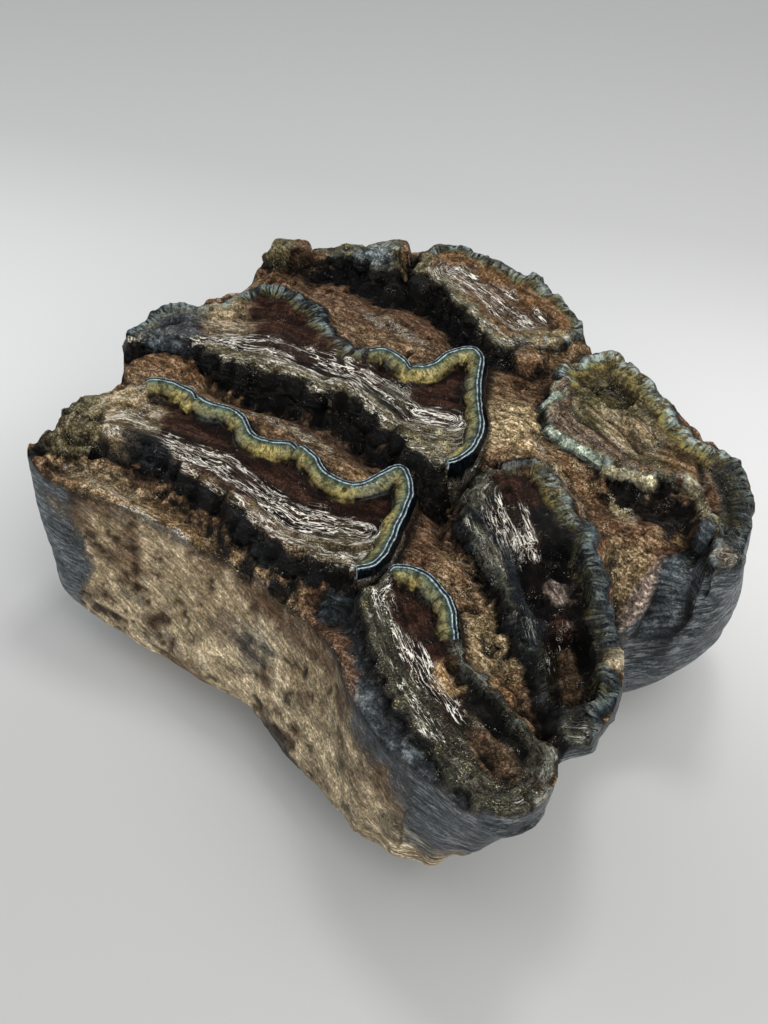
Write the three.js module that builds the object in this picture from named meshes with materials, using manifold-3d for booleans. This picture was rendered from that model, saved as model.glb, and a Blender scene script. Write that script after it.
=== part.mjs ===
// A piece of a fossil mammoth molar, broken out of the tooth between two of its plates.
// Seven lophs (half plates) of thick enamel stand in cement, in chevrons open to the front, and their worn
// tops make the chewing surface. It is one grown thing, so everything is fused into one solid.
// Millimetres, +X across the tooth, +Y along it to the back, +Z up, resting on the broken underside.
import * as THREE from "three";
import { mergeVertices } from "three/addons/utils/BufferGeometryUtils.js";
import Module from "manifold-3d";

const wasm = await Module();
wasm.setup();

// Driving dimensions.
const crown_height = 40; // chewing plane above the resting face
const enamel = 3.9; // thickness of the enamel wall round a loph
const basin_depth = 2.2; // how far the softer dentine is worn below the enamel
const valley_depth = 2.6; // cement below the chewing plane, away from the scarps
const facet = 2.25; // spacing of points along a loph's edge
const wall_facet = 4; // spacing of points round the outer wall
const cement_cell = 3.7; // spacing of points over the cement
const foot_depth = 14.5; // how deep a loph is set in the cement
const foot_taper = 0.45; // share of the way to its middle line that its foot is narrowed
const scallop_width = 4.8; // one fold of the enamel
const scallop_depth = 0.8;
const sliver = 0.1; // facets thinner than this are joined to their neighbours
const centre_shift = [0.98, -0.56]; // brings the middle of the box to the origin

// The outer wall, as stations counter-clockwise from the front left corner. Each has its place at the
// shoulder, then how far out (+) or in (-) from there, on a line from the middle of the tooth, the wall lies
// at the middle level, the low edge and the resting face.
const levels = { rest: 0, low: 8, middle: 20, shoulder: 34, top: 48 };
const wall_heights = [0, 2.5, 5.5, 9, 14, 20, 27, 34, 48];
const stations = [
  { x: -46.7, y: -33.4, middle: -0.5, low: -3.5, rest: -15 },
  { x: -39, y: -34.8, middle: 1, low: 0.8, rest: -12 },
  { x: -30, y: -33.4, middle: 1.5, low: 2.8, rest: -10 },
  { x: -21, y: -31.3, middle: 3, low: 4.8, rest: -8 },
  { x: -12, y: -30.2, middle: 3.5, low: 5.2, rest: -7 },
  { x: -3, y: -30.6, middle: 3, low: 3.8, rest: -7 },
  { x: 6, y: -32, middle: 3.8, low: 6.2, rest: -5 },
  { x: 14, y: -35.5, middle: 3.5, low: 5, rest: -6 },
  { x: 21, y: -40.3, middle: 2, low: 1.5, rest: -10 },
  { x: 29, y: -43.6, middle: 0.5, low: -1.2, rest: -15 },
  { x: 37, y: -45, middle: -2, low: -8, rest: -21 },
  { x: 45, y: -45.5, middle: -6, low: -16, rest: -28 },
  { x: 49.6, y: -41.5, middle: -10.5, low: -23, rest: -31 },
  { x: 49.2, y: -35.5, middle: -11, low: -22, rest: -29 },
  { x: 46.6, y: -31.2, middle: -11, low: -20, rest: -26 },
  { x: 49.4, y: -26.5, middle: -12, low: -21, rest: -27 },
  { x: 48.4, y: -19.5, middle: -9, low: -17, rest: -23 },
  { x: 44.5, y: -12, middle: -4.5, low: -11, rest: -17 },
  { x: 41, y: -3.5, middle: -1.5, low: -4, rest: -12 },
  { x: 45, y: 3.2, middle: 0, low: -5, rest: -15 },
  { x: 49.6, y: 9, middle: -1.5, low: -7, rest: -17 },
  { x: 48.2, y: 16.5, middle: 0.3, low: -4.5, rest: -15 },
  { x: 43.3, y: 25, middle: 0.5, low: -2.5, rest: -12 },
  { x: 35, y: 29.2, middle: 0.5, low: -1.5, rest: -9 },
  { x: 24.6, y: 33.6, middle: 1, low: 0.5, rest: -6 },
  { x: 14.2, y: 37.4, middle: 1, low: 0.5, rest: -6 },
  { x: 5, y: 39, middle: 0.5, low: -0.5, rest: -7 },
  { x: -6, y: 45, middle: -0.5, low: -2.5, rest: -9 },
  { x: -17, y: 46, middle: -0.5, low: -2.5, rest: -9 },
  { x: -27, y: 43.3, middle: 0, low: -1.5, rest: -8 },
  { x: -36, y: 36.5, middle: 0.5, low: 0, rest: -7 },
  { x: -44.5, y: 29, middle: 0, low: -1.5, rest: -8 },
  { x: -48.4, y: 21, middle: -0.5, low: -2.5, rest: -9 },
  { x: -47.5, y: 13.5, middle: 0.5, low: -1, rest: -8 },
  { x: -51.4, y: 2.5, middle: -0.5, low: -3, rest: -10 },
  { x: -51, y: -7.5, middle: -0.5, low: -3, rest: -10 },
  { x: -46.3, y: -14, middle: 0.5, low: -1.5, rest: -9 },
  { x: -47.3, y: -23.5, middle: 0, low: -2.5, rest: -12 },
];

// The lophs. Outlines run counter-clockwise on the chewing plane. Along `polished`, counter-clockwise
// from one point to the other, the worn rim is whole; elsewhere it is broken `drop` lower, in scallops.
const lophs = {
  front_left: {
    outline: [
      [-42, -30], [-34, -26.3], [-27.5, -25.3], [-21.5, -25.8], [-12, -26.8], [-6.5, -28.3], [-2, -28.3],
      [6.8, -27.3], [10.3, -25.8], [12, -23.5], [12, -20], [10.5, -15.5], [9, -11], [7.5, -8], [4.5, -5],
      [2, -4.8], [0.5, -7.5], [-0.5, -11], [-2.5, -12.2], [-5.5, -12], [-8.5, -10.4], [-12.5, -10],
      [-16.5, -12], [-19, -12.4], [-22.5, -10.3], [-25.5, -10], [-29.5, -11], [-34, -10.5],
      [-40.5, -12.4], [-44, -18.5], [-46.8, -23.5], [-47.2, -29], [-45.8, -34],
    ],
    spine: [[-37, -23], [-20, -19], [-4, -21], [5, -17]],
    polished: { from: [10.5, -26], to: [-26, -10] },
    drop: 1.5,
  },
  front_right: {
    outline: [
      [12.5, -27.5], [14.5, -30.5], [18, -33.5], [22, -36.5], [26.5, -39.5], [31, -41.5], [35.5, -43],
      [43, -45.3], [46, -45.5], [48.5, -44], [50, -41], [50, -37.5], [48, -34], [45.5, -32.5],
      [41.5, -32], [38.5, -31], [32, -28.5], [29.5, -27.5], [27.5, -25], [24.5, -22], [21, -20],
      [18, -19.3], [15, -20], [12.8, -21.5], [12.3, -24],
    ],
    spine: [[17, -25], [28, -33], [43, -39]],
    polished: { from: [29.5, -27.5], to: [15, -20] },
    drop: 1.2,
  },
  middle_left: {
    outline: [
      [-49, -9.5], [-45.5, -5], [-40.5, -3.5], [-31.5, -2.8], [-27.5, -0.5], [-22, -0.2], [-16.5, 1],
      [-14.5, 3], [-10, 1.5], [-4, -0.5], [0.5, -2], [4.5, -2.5], [8, -1], [9.5, 2.5], [9, 6.5],
      [7, 10.5], [3.5, 14.5], [1, 18.5], [-1.5, 22.5], [-4.2, 24.2], [-6.5, 23], [-8, 20],
      [-8.3, 16.8], [-10, 15], [-13, 15.5], [-16, 15.5], [-19, 13.7], [-23, 13.7], [-27, 15.5],
      [-31, 17.7], [-38, 18.7], [-42.3, 16.8], [-45.3, 10.3], [-48, 6.3], [-51.8, 2.5], [-52.4, -3],
      [-51.6, -9],
    ],
    spine: [[-44, -1], [-33, 7], [-16, 9], [-4, 7], [1, 9]],
    polished: { from: [8, -1], to: [-13, 15.5] },
    drop: 0.9,
  },
  middle_right: {
    outline: [
      [14.5, -8], [17.5, -10.5], [21, -12], [28, -17.5], [32, -21], [36, -23.5], [39.5, -26],
      [42.5, -28.2], [45.5, -30.5], [48.5, -32.3], [50.3, -30], [50, -26], [49.3, -21.5], [47.5, -17],
      [44.5, -13.5], [41, -10], [38, -5.5], [35, -2], [31.5, 1.2], [27.5, 4], [24, 6.3], [21, 8.2],
      [18, 9], [15, 7.7], [12.8, 5.5], [11.2, 2.3], [11.5, -1.5], [12.8, -5],
    ],
    spine: [[18, 1], [30, -9], [44, -23]],
    polished: { from: [27.5, 4], to: [21, 8.2] },
    drop: 1,
  },
  right: {
    outline: [
      [13.5, 16], [17, 14.5], [22.5, 14], [28.5, 13.3], [31.5, 15], [34.5, 17], [38, 17.3],
      [41.5, 14.8], [45, 10.5], [47.5, 6], [50.3, 6], [50.7, 10], [49, 14], [47.8, 18.3], [45, 22.5],
      [41.7, 25.8], [38.7, 27.8], [33.5, 27.8], [30.5, 29.5], [26.5, 31], [24, 34], [20, 36],
      [16, 37.3], [12, 36.6], [9.4, 33.2], [8, 28.8], [9.4, 23], [11, 18.7],
    ],
    spine: [[16, 25], [28, 21.5], [39, 21], [46.5, 13]],
    polished: { from: [11, 18.7], to: [22.5, 14] },
    drop: 0.9,
  },
  back_right: {
    outline: [
      [-23, 35.5], [-19, 34.5], [-14.5, 32], [-8.5, 29], [-4.5, 27.5], [-1.5, 27.7], [3, 32],
      [5.2, 34.7], [6.7, 37.6], [3.7, 41.6], [-0.5, 44.3], [-4.5, 45.8], [-8.5, 46.6], [-14, 46],
      [-20.5, 46.4], [-25.8, 44.6], [-27.5, 40], [-26, 36],
    ],
    spine: [[-20, 40], [-9, 38], [-1, 36]],
    polished: { from: [5.2, 34.7], to: [3, 40.5] },
    drop: 0.8,
  },
  back_left: {
    outline: [
      [-48, 22.6], [-42.5, 25.5], [-38.5, 29], [-35, 31.5], [-30, 30.8], [-26.3, 31.5], [-26.5, 34.5],
      [-29, 36], [-33, 38.2], [-38.5, 33.5], [-43.5, 28.5], [-48.5, 26.3],
    ],
    spine: [[-44, 26.3], [-36, 32.6], [-30, 33.6]],
    polished: { from: [-26.3, 31.5], to: [-29, 36] },
    drop: 0.7,
  },
};

// The near side of each loph broke away below its rim, and the cement at the foot of that scarp is worn
// or broken deepest. Each scarp is a line on the plan with its depth below the chewing plane.
const scarp_reach = 4;
const scarps = [
  { depth: 6.5, line: [[-41, -31.5], [-33, -28.5], [-20, -28], [-3, -31], [9, -29.5]] },
  { depth: 7.5, line: [[-40, -4.5], [-28, -2.5], [-15, 1], [-3, -2], [5, -4], [10, -2]] },
  { depth: 8, line: [[-38, 27.5], [-35, 30], [-27, 29.5]] },
  { depth: 7.5, line: [[-24, 34], [-14, 30.5], [-5, 26]] },
  { depth: 5.5, line: [[30, 12], [37, 15], [43, 10.5]] },
  { depth: 9, line: [[10, 1], [13, -8], [21, -13], [32, -22.5], [41, -29]] },
  { depth: 4, line: [[12, -31], [21, -37.5], [29, -42]] },
];

// Swells of the cement above and below its general level, as broad round hills.
const swells = [
  { x: 10, y: 12, radius: 7, rise: 2.2 },
  { x: 26, y: 9, radius: 7, rise: -1.5 },
  { x: 41, y: -1, radius: 9, rise: -9.5 },
  { x: 30, y: -19, radius: 5, rise: 1.8 },
  { x: 20, y: -14, radius: 4, rise: 2 },
  { x: 10, y: 26, radius: 5, rise: -1.5 },
  { x: 12, y: 39, radius: 5, rise: -2.5 },
  { x: -30, y: 24, radius: 7, rise: -1.5 },
  { x: -48, y: 20, radius: 5, rise: -2 },
  { x: -44, y: -9, radius: 5, rise: -2.5 },
  { x: 48, y: -31.5, radius: 3.5, rise: -6 },
];

// Hollows broken out of the lophs, and lumps left standing: centre, half sizes and turn about Z in degrees.
const hollows = [
  { at: [32, -7.5, 39.5], half: [8, 4.2, 7], turn: -45 },
  { at: [42.5, -20.5, 39], half: [6, 2.6, 4.5], turn: -52 },
  { at: [17.5, 29.5, 40], half: [3.6, 2.6, 4], turn: -20 },
  { at: [43.5, -37.5, 40.5], half: [4.5, 3.2, 3], turn: -20 },
];
const lumps = [
  { at: [31.5, -9.5, 33.5], half: [3.2, 2.6, 3.4], turn: 20 },
  { at: [1.5, 28.6, 36.2], half: [4.2, 2.4, 3], turn: -35 },
  { at: [-23, 34.2, 35.6], half: [2.6, 2.6, 3.8], turn: 0 },
  { at: [44.2, 12, 38.2], half: [1.8, 1.8, 2.2], turn: 0 },
  { at: [-44.8, 26.4, 39], half: [3.6, 2, 1.7], turn: 25 },
  { at: [-31.5, 35.8, 39], half: [4, 2, 1.7], turn: 35 },
];

// A closed smooth curve through points of the plan.
function closedCurve(points) {
  const corners = points.map(([x, y]) => new THREE.Vector3(x, y, 0));
  return new THREE.CatmullRomCurve3(corners, true, "catmullrom", 0.5);
}

// The point of a line of straight stretches that lies nearest to a place.
function nearestOn(line, place) {
  let best = null;
  for (let i = 0; i < line.length - 1; i++) {
    const stretch = new THREE.Line3(
      new THREE.Vector3(...line[i], 0),
      new THREE.Vector3(...line[i + 1], 0),
    );
    const point = stretch.closestPointToPoint(place, true, new THREE.Vector3());
    if (!best || point.distanceTo(place) < best.distanceTo(place)) best = point;
  }
  return best;
}

// A closed skin through rings that have the same number of points, with a flat cap at each end. The
// rings run counter-clockwise, from the bottom up the outside and then inwards over the top.
function loft(rings) {
  const count = rings[0].length;
  const index = [];
  for (let r = 0; r < rings.length - 1; r++) {
    for (let i = 0; i < count; i++) {
      const a = r * count + i;
      const b = r * count + ((i + 1) % count);
      index.push(a, b, b + count, a, b + count, a + count);
    }
  }
  const last = (rings.length - 1) * count;
  for (const [first, turned] of [[0, true], [last, false]]) {
    const ring = rings[first / count].map((p) => new THREE.Vector2(p.x, p.y));
    for (const [a, b, c] of THREE.ShapeUtils.triangulateShape(ring, [])) {
      index.push(first + a, first + (turned ? c : b), first + (turned ? b : c));
    }
  }
  const geometry = new THREE.BufferGeometry().setFromPoints(rings.flat());
  return geometry.setIndex(index);
}

// A three.js geometry as a solid that can be joined and cut.
function solid(geometry) {
  geometry.deleteAttribute("normal");
  geometry.deleteAttribute("uv");
  const merged = mergeVertices(geometry, 1e-4);
  return new wasm.Manifold(
    new wasm.Mesh({
      numProp: 3,
      vertProperties: new Float32Array(merged.attributes.position.array),
      triVerts: new Uint32Array(merged.index.array),
    }),
  );
}

// The height of the cement's surface at a place on the plan.
function cementHeight(x, y) {
  const place = new THREE.Vector3(x, y, 0);
  let sunk = valley_depth;
  for (const { depth, line } of scarps) {
    const away = nearestOn(line, place).distanceTo(place) / scarp_reach;
    sunk += (depth - valley_depth) * Math.exp(-away * away);
  }
  for (const swell of swells) {
    const away = Math.hypot(x - swell.x, y - swell.y) / swell.radius;
    sunk -= swell.rise * Math.exp(-away * away);
  }
  return crown_height - Math.min(sunk, 14);
}

// The cement body: walls lofted through the stations, under the worn surface of the cement.
function cementBody() {
  const plan = closedCurve(stations.map(({ x, y }) => [x, y]));
  const count = Math.round(plan.getLength() / wall_facet);
  const rings = wall_heights.map(() => []);
  for (let i = 0; i < count; i++) {
    const at = i / count;
    const edge = plan.getPoint(at);
    const outward = edge.clone().normalize();
    const station = at * stations.length;
    const before = stations[Math.floor(station) % stations.length];
    const after = stations[(Math.floor(station) + 1) % stations.length];
    const blend = THREE.MathUtils.smoothstep(station % 1, 0, 1);
    const out = (level) => THREE.MathUtils.lerp(before[level], after[level], blend);
    const profile = new THREE.SplineCurve([
      new THREE.Vector2(levels.rest, out("rest")),
      new THREE.Vector2(levels.low, out("low")),
      new THREE.Vector2(levels.middle, out("middle")),
      new THREE.Vector2(levels.shoulder, 0),
      new THREE.Vector2(levels.top, -1),
    ]);
    wall_heights.forEach((height, r) => {
      rings[r].push(edge.clone().addScaledVector(outward, profileAt(profile, height)).setZ(height));
    });
  }
  return solid(loft(rings)).intersect(cementBlock());
}

// How far a wall profile stands out at a height: the curve runs (height, out), upwards.
function profileAt(profile, height) {
  let low = 0;
  let high = 1;
  for (let step = 0; step < 20; step++) {
    const half = (low + high) / 2;
    if (profile.getPoint(half).x < height) low = half;
    else high = half;
  }
  return profile.getPoint(low).y;
}

// A block as wide as the tooth whose top is the surface of the cement.
function cementBlock() {
  const width = 116;
  const length = 104;
  const sunk = 20;
  const across = Math.round(width / cement_cell);
  const along = Math.round(length / cement_cell);
  const block = new THREE.BoxGeometry(width, length, 2 * sunk, across, along, 1);
  const place = block.attributes.position;
  for (let i = 0; i < place.count; i++) {
    const top = place.getZ(i) > 0;
    place.setZ(i, top ? cementHeight(place.getX(i), place.getY(i)) : -sunk);
  }
  return solid(block);
}

// One loph: a column of enamel round dentine, set deep in the cement, with its worn or broken rim.
function loph({ outline, spine, polished, drop }) {
  const edge = closedCurve(outline);
  const length = edge.getLength();
  const count = Math.round(length / facet);
  const points = edge.getSpacedPoints(count).slice(0, count);
  const nearestIndex = ([x, y]) => {
    const away = points.map((p) => Math.hypot(p.x - x, p.y - y));
    return away.indexOf(Math.min(...away));
  };
  const start = nearestIndex(polished.from);
  const stretch = (nearestIndex(polished.to) - start + count) % count;
  // Steps over a point of the rim: how far in from the edge, and how far below the chewing plane.
  const whole = [[0.8, 7], [0, 1.2], [0.5, 0.1], [enamel - 0.6, 0.2], [enamel, basin_depth]];
  const broken = [[0.8, 8], [0, 2.4], [1.1, 0.5], [enamel - 1.2, 0], [enamel, basin_depth - 0.8]];
  const foot = [];
  const floor = [];
  const rings = whole.map(() => []);
  points.forEach((point, i) => {
    const past = (i - start + count) % count;
    const margin = Math.min(past, stretch - past);
    const roughness = THREE.MathUtils.smoothstep(-margin, 0, 3);
    const fold = Math.abs(Math.sin((Math.PI * i * length) / count / scallop_width));
    const centre = nearestOn(spine, point);
    const inward = centre.clone().sub(point);
    const reach = inward.length();
    inward.normalize();
    const bulge = roughness * scallop_depth * (0.5 - fold);
    whole.forEach(([inset, below], r) => {
      const [roughInset, roughBelow] = broken[r];
      const steps = THREE.MathUtils.lerp(inset, roughInset, roughness) + bulge;
      const down = THREE.MathUtils.lerp(below, roughBelow + drop, roughness);
      const moved = point.clone().addScaledVector(inward, Math.min(steps, 0.8 * reach));
      rings[r].push(moved.setZ(crown_height - down));
    });
    foot.push(point.clone().addScaledVector(inward, foot_taper * reach).setZ(crown_height - foot_depth));
    const low = crown_height - basin_depth - 0.35 * drop;
    floor.push(point.clone().addScaledVector(inward, 0.86 * reach).setZ(low));
  });
  return solid(loft([foot, ...rings, floor]));
}

// A faceted lump, for joining on or cutting out.
function pebble({ at, half, turn }) {
  const geometry = new THREE.IcosahedronGeometry(1, 1);
  geometry.scale(...half);
  geometry.rotateZ(THREE.MathUtils.degToRad(turn));
  geometry.translate(...at);
  return solid(geometry);
}

let tooth = cementBody();
Object.values(lophs).forEach((one) => {
  tooth = tooth.add(loph(one));
});
hollows.forEach((hollow) => {
  tooth = tooth.subtract(pebble(hollow));
});
lumps.forEach((lump) => {
  tooth = tooth.add(pebble(lump));
});

const { vertProperties, triVerts } = tooth.simplify(sliver).getMesh();
const geometry = new THREE.BufferGeometry()
  .setAttribute("position", new THREE.BufferAttribute(vertProperties, 3))
  .setIndex(new THREE.BufferAttribute(triVerts, 1));

const fossil = new THREE.MeshStandardMaterial({ color: 0x54402e, roughness: 0.4, metalness: 0 });
const molar = new THREE.Mesh(geometry, fossil);
molar.name = "molar";
molar.position.set(centre_shift[0], centre_shift[1], 0);

const group = new THREE.Group();
group.add(molar);

export default group;
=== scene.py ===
# A broken piece of a fossil mammoth molar on a pale table: worn enamel lophs round dark dentine, set in
# brown cement. Lengths inside a section are in millimetres where its comment says so, and metres otherwise.
import math
import bmesh
import bpy
import numpy as np
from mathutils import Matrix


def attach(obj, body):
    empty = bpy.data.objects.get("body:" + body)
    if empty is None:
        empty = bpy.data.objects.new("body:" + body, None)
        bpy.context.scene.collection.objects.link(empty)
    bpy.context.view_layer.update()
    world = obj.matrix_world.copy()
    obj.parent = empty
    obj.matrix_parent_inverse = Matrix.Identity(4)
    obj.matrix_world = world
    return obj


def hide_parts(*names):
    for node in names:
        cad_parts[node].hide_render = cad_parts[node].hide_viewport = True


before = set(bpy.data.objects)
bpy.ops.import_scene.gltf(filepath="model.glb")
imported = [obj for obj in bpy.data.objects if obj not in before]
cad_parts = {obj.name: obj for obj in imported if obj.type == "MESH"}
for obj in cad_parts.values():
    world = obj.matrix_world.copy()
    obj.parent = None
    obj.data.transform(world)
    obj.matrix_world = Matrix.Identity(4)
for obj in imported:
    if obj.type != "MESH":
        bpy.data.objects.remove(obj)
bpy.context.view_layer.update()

# The camera, 22 cm off the crown over its front right corner, looking down at 45 degrees: a portrait frame
# 36 mm tall behind a 54 mm lens, aimed at the middle of the crown.
camera_azimuth = math.radians(37.5)
camera_elevation = math.radians(45)
camera_distance = 0.216
camera_target = np.array([0.00748, -0.01496, 0.040])
camera_back = np.array([
    math.sin(camera_azimuth) * math.cos(camera_elevation),
    -math.cos(camera_azimuth) * math.cos(camera_elevation),
    math.sin(camera_elevation),
])
camera_data = bpy.data.cameras.new("camera")
camera_data.sensor_fit = "VERTICAL"
camera_data.sensor_height = 36
camera_data.lens = 54
camera_data.clip_start = 0.005
camera = bpy.data.objects.new("camera", camera_data)
camera.location = camera_target + camera_distance * camera_back
camera.rotation_euler = (math.pi / 2 - camera_elevation, 0, camera_azimuth)
bpy.context.scene.collection.objects.link(camera)
bpy.context.scene.camera = camera
bpy.context.scene.view_settings.view_transform = "Standard"

# The table: one wide sheet of pale matt card, its colour painted with light and shade: brightest behind the
# fossil's right side and greyer towards the camera and far behind, as painted light from the right. Each
# painted shade has its depth along the run of the shades, which leans off the line of the camera.
table_half = 1.6
falloff_lean = 0.28
table_light_falloff = [
    (-0.08, (0.41, 0.41, 0.404)), (-0.018, (0.43, 0.43, 0.424)), (0.030, (0.72, 0.72, 0.712)),
    (0.086, (0.58, 0.58, 0.575)), (0.122, (0.46, 0.46, 0.455)), (0.22, (0.37, 0.37, 0.365)),
]


def stood(name, form):
    """The shape of a bmesh as an object of the scene, with the bmesh let go."""
    mesh = bpy.data.meshes.new(name)
    form.to_mesh(mesh)
    form.free()
    solid = bpy.data.objects.new(name, mesh)
    bpy.context.scene.collection.objects.link(solid)
    return solid


table_form = bmesh.new()
bmesh.ops.create_grid(table_form, x_segments=2, y_segments=2, size=table_half)
table = stood("table", table_form)
card = bpy.data.materials.new("pale_card")
card.use_nodes = True
card_nodes = card.node_tree.nodes
card_shader = card_nodes["Principled BSDF"]
card_shader.inputs["Roughness"].default_value = 0.75
card_shader.inputs["Specular IOR Level"].default_value = 0.25
card_place = card_nodes.new("ShaderNodeTexCoord")
card_turn = card_nodes.new("ShaderNodeMapping")
card_turn.inputs["Rotation"].default_value = (0, 0, falloff_lean - camera_azimuth)
card_axes = card_nodes.new("ShaderNodeSeparateXYZ")
card_depth = card_nodes.new("ShaderNodeMapRange")
nearest_falloff, farthest_falloff = table_light_falloff[0][0], table_light_falloff[-1][0]
card_depth.inputs["From Min"].default_value = nearest_falloff
card_depth.inputs["From Max"].default_value = farthest_falloff
# the ramp of painted light and shade over the card
card_light_ramp = card_nodes.new("ShaderNodeValToRGB")
card_light_ramp.color_ramp.interpolation = "B_SPLINE"
while len(card_light_ramp.color_ramp.elements) < len(table_light_falloff):
    card_light_ramp.color_ramp.elements.new(0.5)
for element, (depth, shade) in zip(card_light_ramp.color_ramp.elements, table_light_falloff):
    element.position = (depth - nearest_falloff) / (farthest_falloff - nearest_falloff)
    element.color = (*shade, 1)
card_links = card.node_tree.links
card_links.new(card_place.outputs["Object"], card_turn.inputs["Vector"])
card_links.new(card_turn.outputs["Vector"], card_axes.inputs["Vector"])
card_links.new(card_axes.outputs["Y"], card_depth.inputs["Value"])
card_links.new(card_depth.outputs["Result"], card_light_ramp.inputs[0])
card_links.new(card_light_ramp.outputs[0], card_shader.inputs["Base Color"])
table.data.materials.append(card)

# The light: a pale room all round, a large soft panel overhead, a little behind and to the right, a small
# one that sparks on the varnish, a weak one on the left, and a broad one low on the right. The panels face
# the foot of the tooth.
room = bpy.data.worlds.new("room")
room.use_nodes = True
room.node_tree.nodes["Background"].inputs["Color"].default_value = (0.94, 0.97, 1.0, 1)
room.node_tree.nodes["Background"].inputs["Strength"].default_value = 0.56
bpy.context.scene.world = room
panels = [
    {"name": "overhead", "at": (0.24, 0.02, 0.54), "side": 0.44, "watts": 1.5, "tint": (1.0, 0.985, 0.96)},
    {"name": "glint", "at": (0.00, 0.10, 0.50), "side": 0.09, "watts": 0.62, "tint": (1.0, 1.0, 1.0)},
    {"name": "left", "at": (-0.50, -0.20, 0.34), "side": 0.30, "watts": 0.5, "tint": (0.95, 0.98, 1.0)},
    {"name": "right", "at": (0.42, -0.28, 0.26), "side": 0.40, "watts": 2.0, "tint": (1.0, 0.99, 0.97)},
]
for panel in panels:
    lamp_data = bpy.data.lights.new(panel["name"], "AREA")
    lamp_data.size = panel["side"]
    lamp_data.energy = panel["watts"]
    lamp_data.color = panel["tint"]
    lamp = bpy.data.objects.new(panel["name"], lamp_data)
    lamp.location = panel["at"]
    towards = -lamp.location.copy()
    lamp.rotation_euler = towards.to_track_quat("-Z", "Y").to_euler()
    bpy.context.scene.collection.objects.link(lamp)

# The tooth's outline. The piece is one solid of grown tissue, broken off in front, behind and below. Its
# walls are the enamel of the outermost lophs, and cement between them. Millimetres from here on, before
# the shift that centres the piece.
centre_shift = np.array([0.98, -0.56])
wall_levels = {"rest": 0, "low": 8, "middle": 20, "shoulder": 34, "top": 48}
stations = [
    # x and y of the shoulder; how far the wall stands out from it at the middle, low and rest levels; and
    # how much of the wall is bare enamel
    (-46.7, -33.4, -0.5, -3.5, -15, 1.0),
    (-39, -34.8, 1, 0.8, -12, 0.8),
    (-30, -33.4, 1.5, 2.8, -10, 0),
    (-21, -31.3, 3, 4.8, -8, 0),
    (-12, -30.2, 3.5, 5.2, -7, 0),
    (-3, -30.6, 3, 3.8, -7, 0),
    (6, -32, 3.8, 6.2, -5, 0),
    (14, -35.5, 3.5, 5, -6, 0),
    (21, -40.3, 2, 1.5, -10, 0),
    (29, -43.6, 0.4, -2.2, -15, 0.1),
    (37, -45, -1.6, -6.2, -19, 0.95),
    (45, -45.5, -5.6, -13.4, -25.5, 1),
    (49.6, -41.5, -10, -21, -30, 1),
    (49.2, -35.5, -11, -22, -29, 1),
    (46.6, -31.2, -11, -20, -26, 0.8),
    (49.4, -26.5, -12, -21, -27, 1),
    (48.4, -19.5, -9, -17, -23, 1),
    (44.5, -12, -4.5, -11, -17, 0.9),
    (41, -3.5, -1.5, -4, -12, 0.7),
    (45, 3.2, 0, -5, -15, 1),
    (49.6, 9, -1.5, -7, -17, 1),
    (48.2, 16.5, 0.3, -4.5, -15, 1),
    (43.3, 25, 0.5, -2.5, -12, 1),
    (35, 29.2, 0.5, -1.5, -9, 1),
    (24.6, 33.6, 1, 0.5, -6, 1),
    (14.2, 37.4, 1, 0.5, -6, 0.9),
    (5, 39, 0.5, -0.5, -7, 0.1),
    (-6, 45, -0.5, -2.5, -9, 0.9),
    (-17, 46, -0.5, -2.5, -9, 1),
    (-27, 43.3, 0, -1.5, -8, 0.9),
    (-36, 36.5, 0.5, 0, -7, 0.6),
    (-44.5, 29, 0, -1.5, -8, 0.8),
    (-48.4, 21, -0.5, -2.5, -9, 0.05),
    (-47.5, 13.5, 0.5, -1, -8, 0.4),
    (-51.4, 2.5, -0.5, -3, -10, 1),
    (-51, -7.5, -0.5, -3, -10, 1),
    (-46.3, -14, 0.5, -1.5, -9, 0.1),
    (-47.3, -23.5, 0, -2.5, -12, 1),
]
per_station = 24  # steps of the shoulder's curve from one station to the next
ring_gap = 1.0  # spacing of the places on the ring that tells how near the tooth's edge a place is
wall_gap = 0.85  # spacing of the columns of the wall's mesh
wall_rise = 1.0  # spacing of its rows
wall_top = 46  # height of the last row


def smooth(low, high, value):
    """0 at low, 1 at high, and an easy curve between them; low may be the larger one."""
    share = np.clip((value - low) / (high - low), 0, 1)
    return share * share * (3 - 2 * share)


def bend(start, leave, end, arrive, t):
    """Places at the shares t of a smooth curve from start to end, with its direction at both."""
    return (
        (2 * t**3 - 3 * t**2 + 1) * start + (t**3 - 2 * t**2 + t) * leave
        + (3 * t**2 - 2 * t**3) * end + (t**3 - t**2) * arrive
    )


def spans(corners, per_span):
    """Rows of values on a closed smooth curve through the corners, per_span to each corner."""
    here = np.asarray(corners, float)
    after = np.roll(here, -1, 0)
    leave = (after - np.roll(here, 1, 0)) / 2
    arrive = (np.roll(here, -2, 0) - here) / 2
    t = (np.arange(per_span) / per_span)[None, :, None]
    curve = bend(here[:, None], leave[:, None], after[:, None], arrive[:, None], t)
    return curve.reshape(-1, here.shape[1])


def evenly(ring, gap):
    """A closed ring of places again, at an even spacing near gap."""
    closed = np.vstack([ring, ring[:1]])
    run = np.concatenate([[0], np.cumsum(np.linalg.norm(np.diff(closed, axis=0), axis=1))])
    count = round(run[-1] / gap)
    marks = np.arange(count) / count * run[-1]
    return np.column_stack([np.interp(marks, run, closed[:, k]) for k in range(closed.shape[1])])


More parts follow.
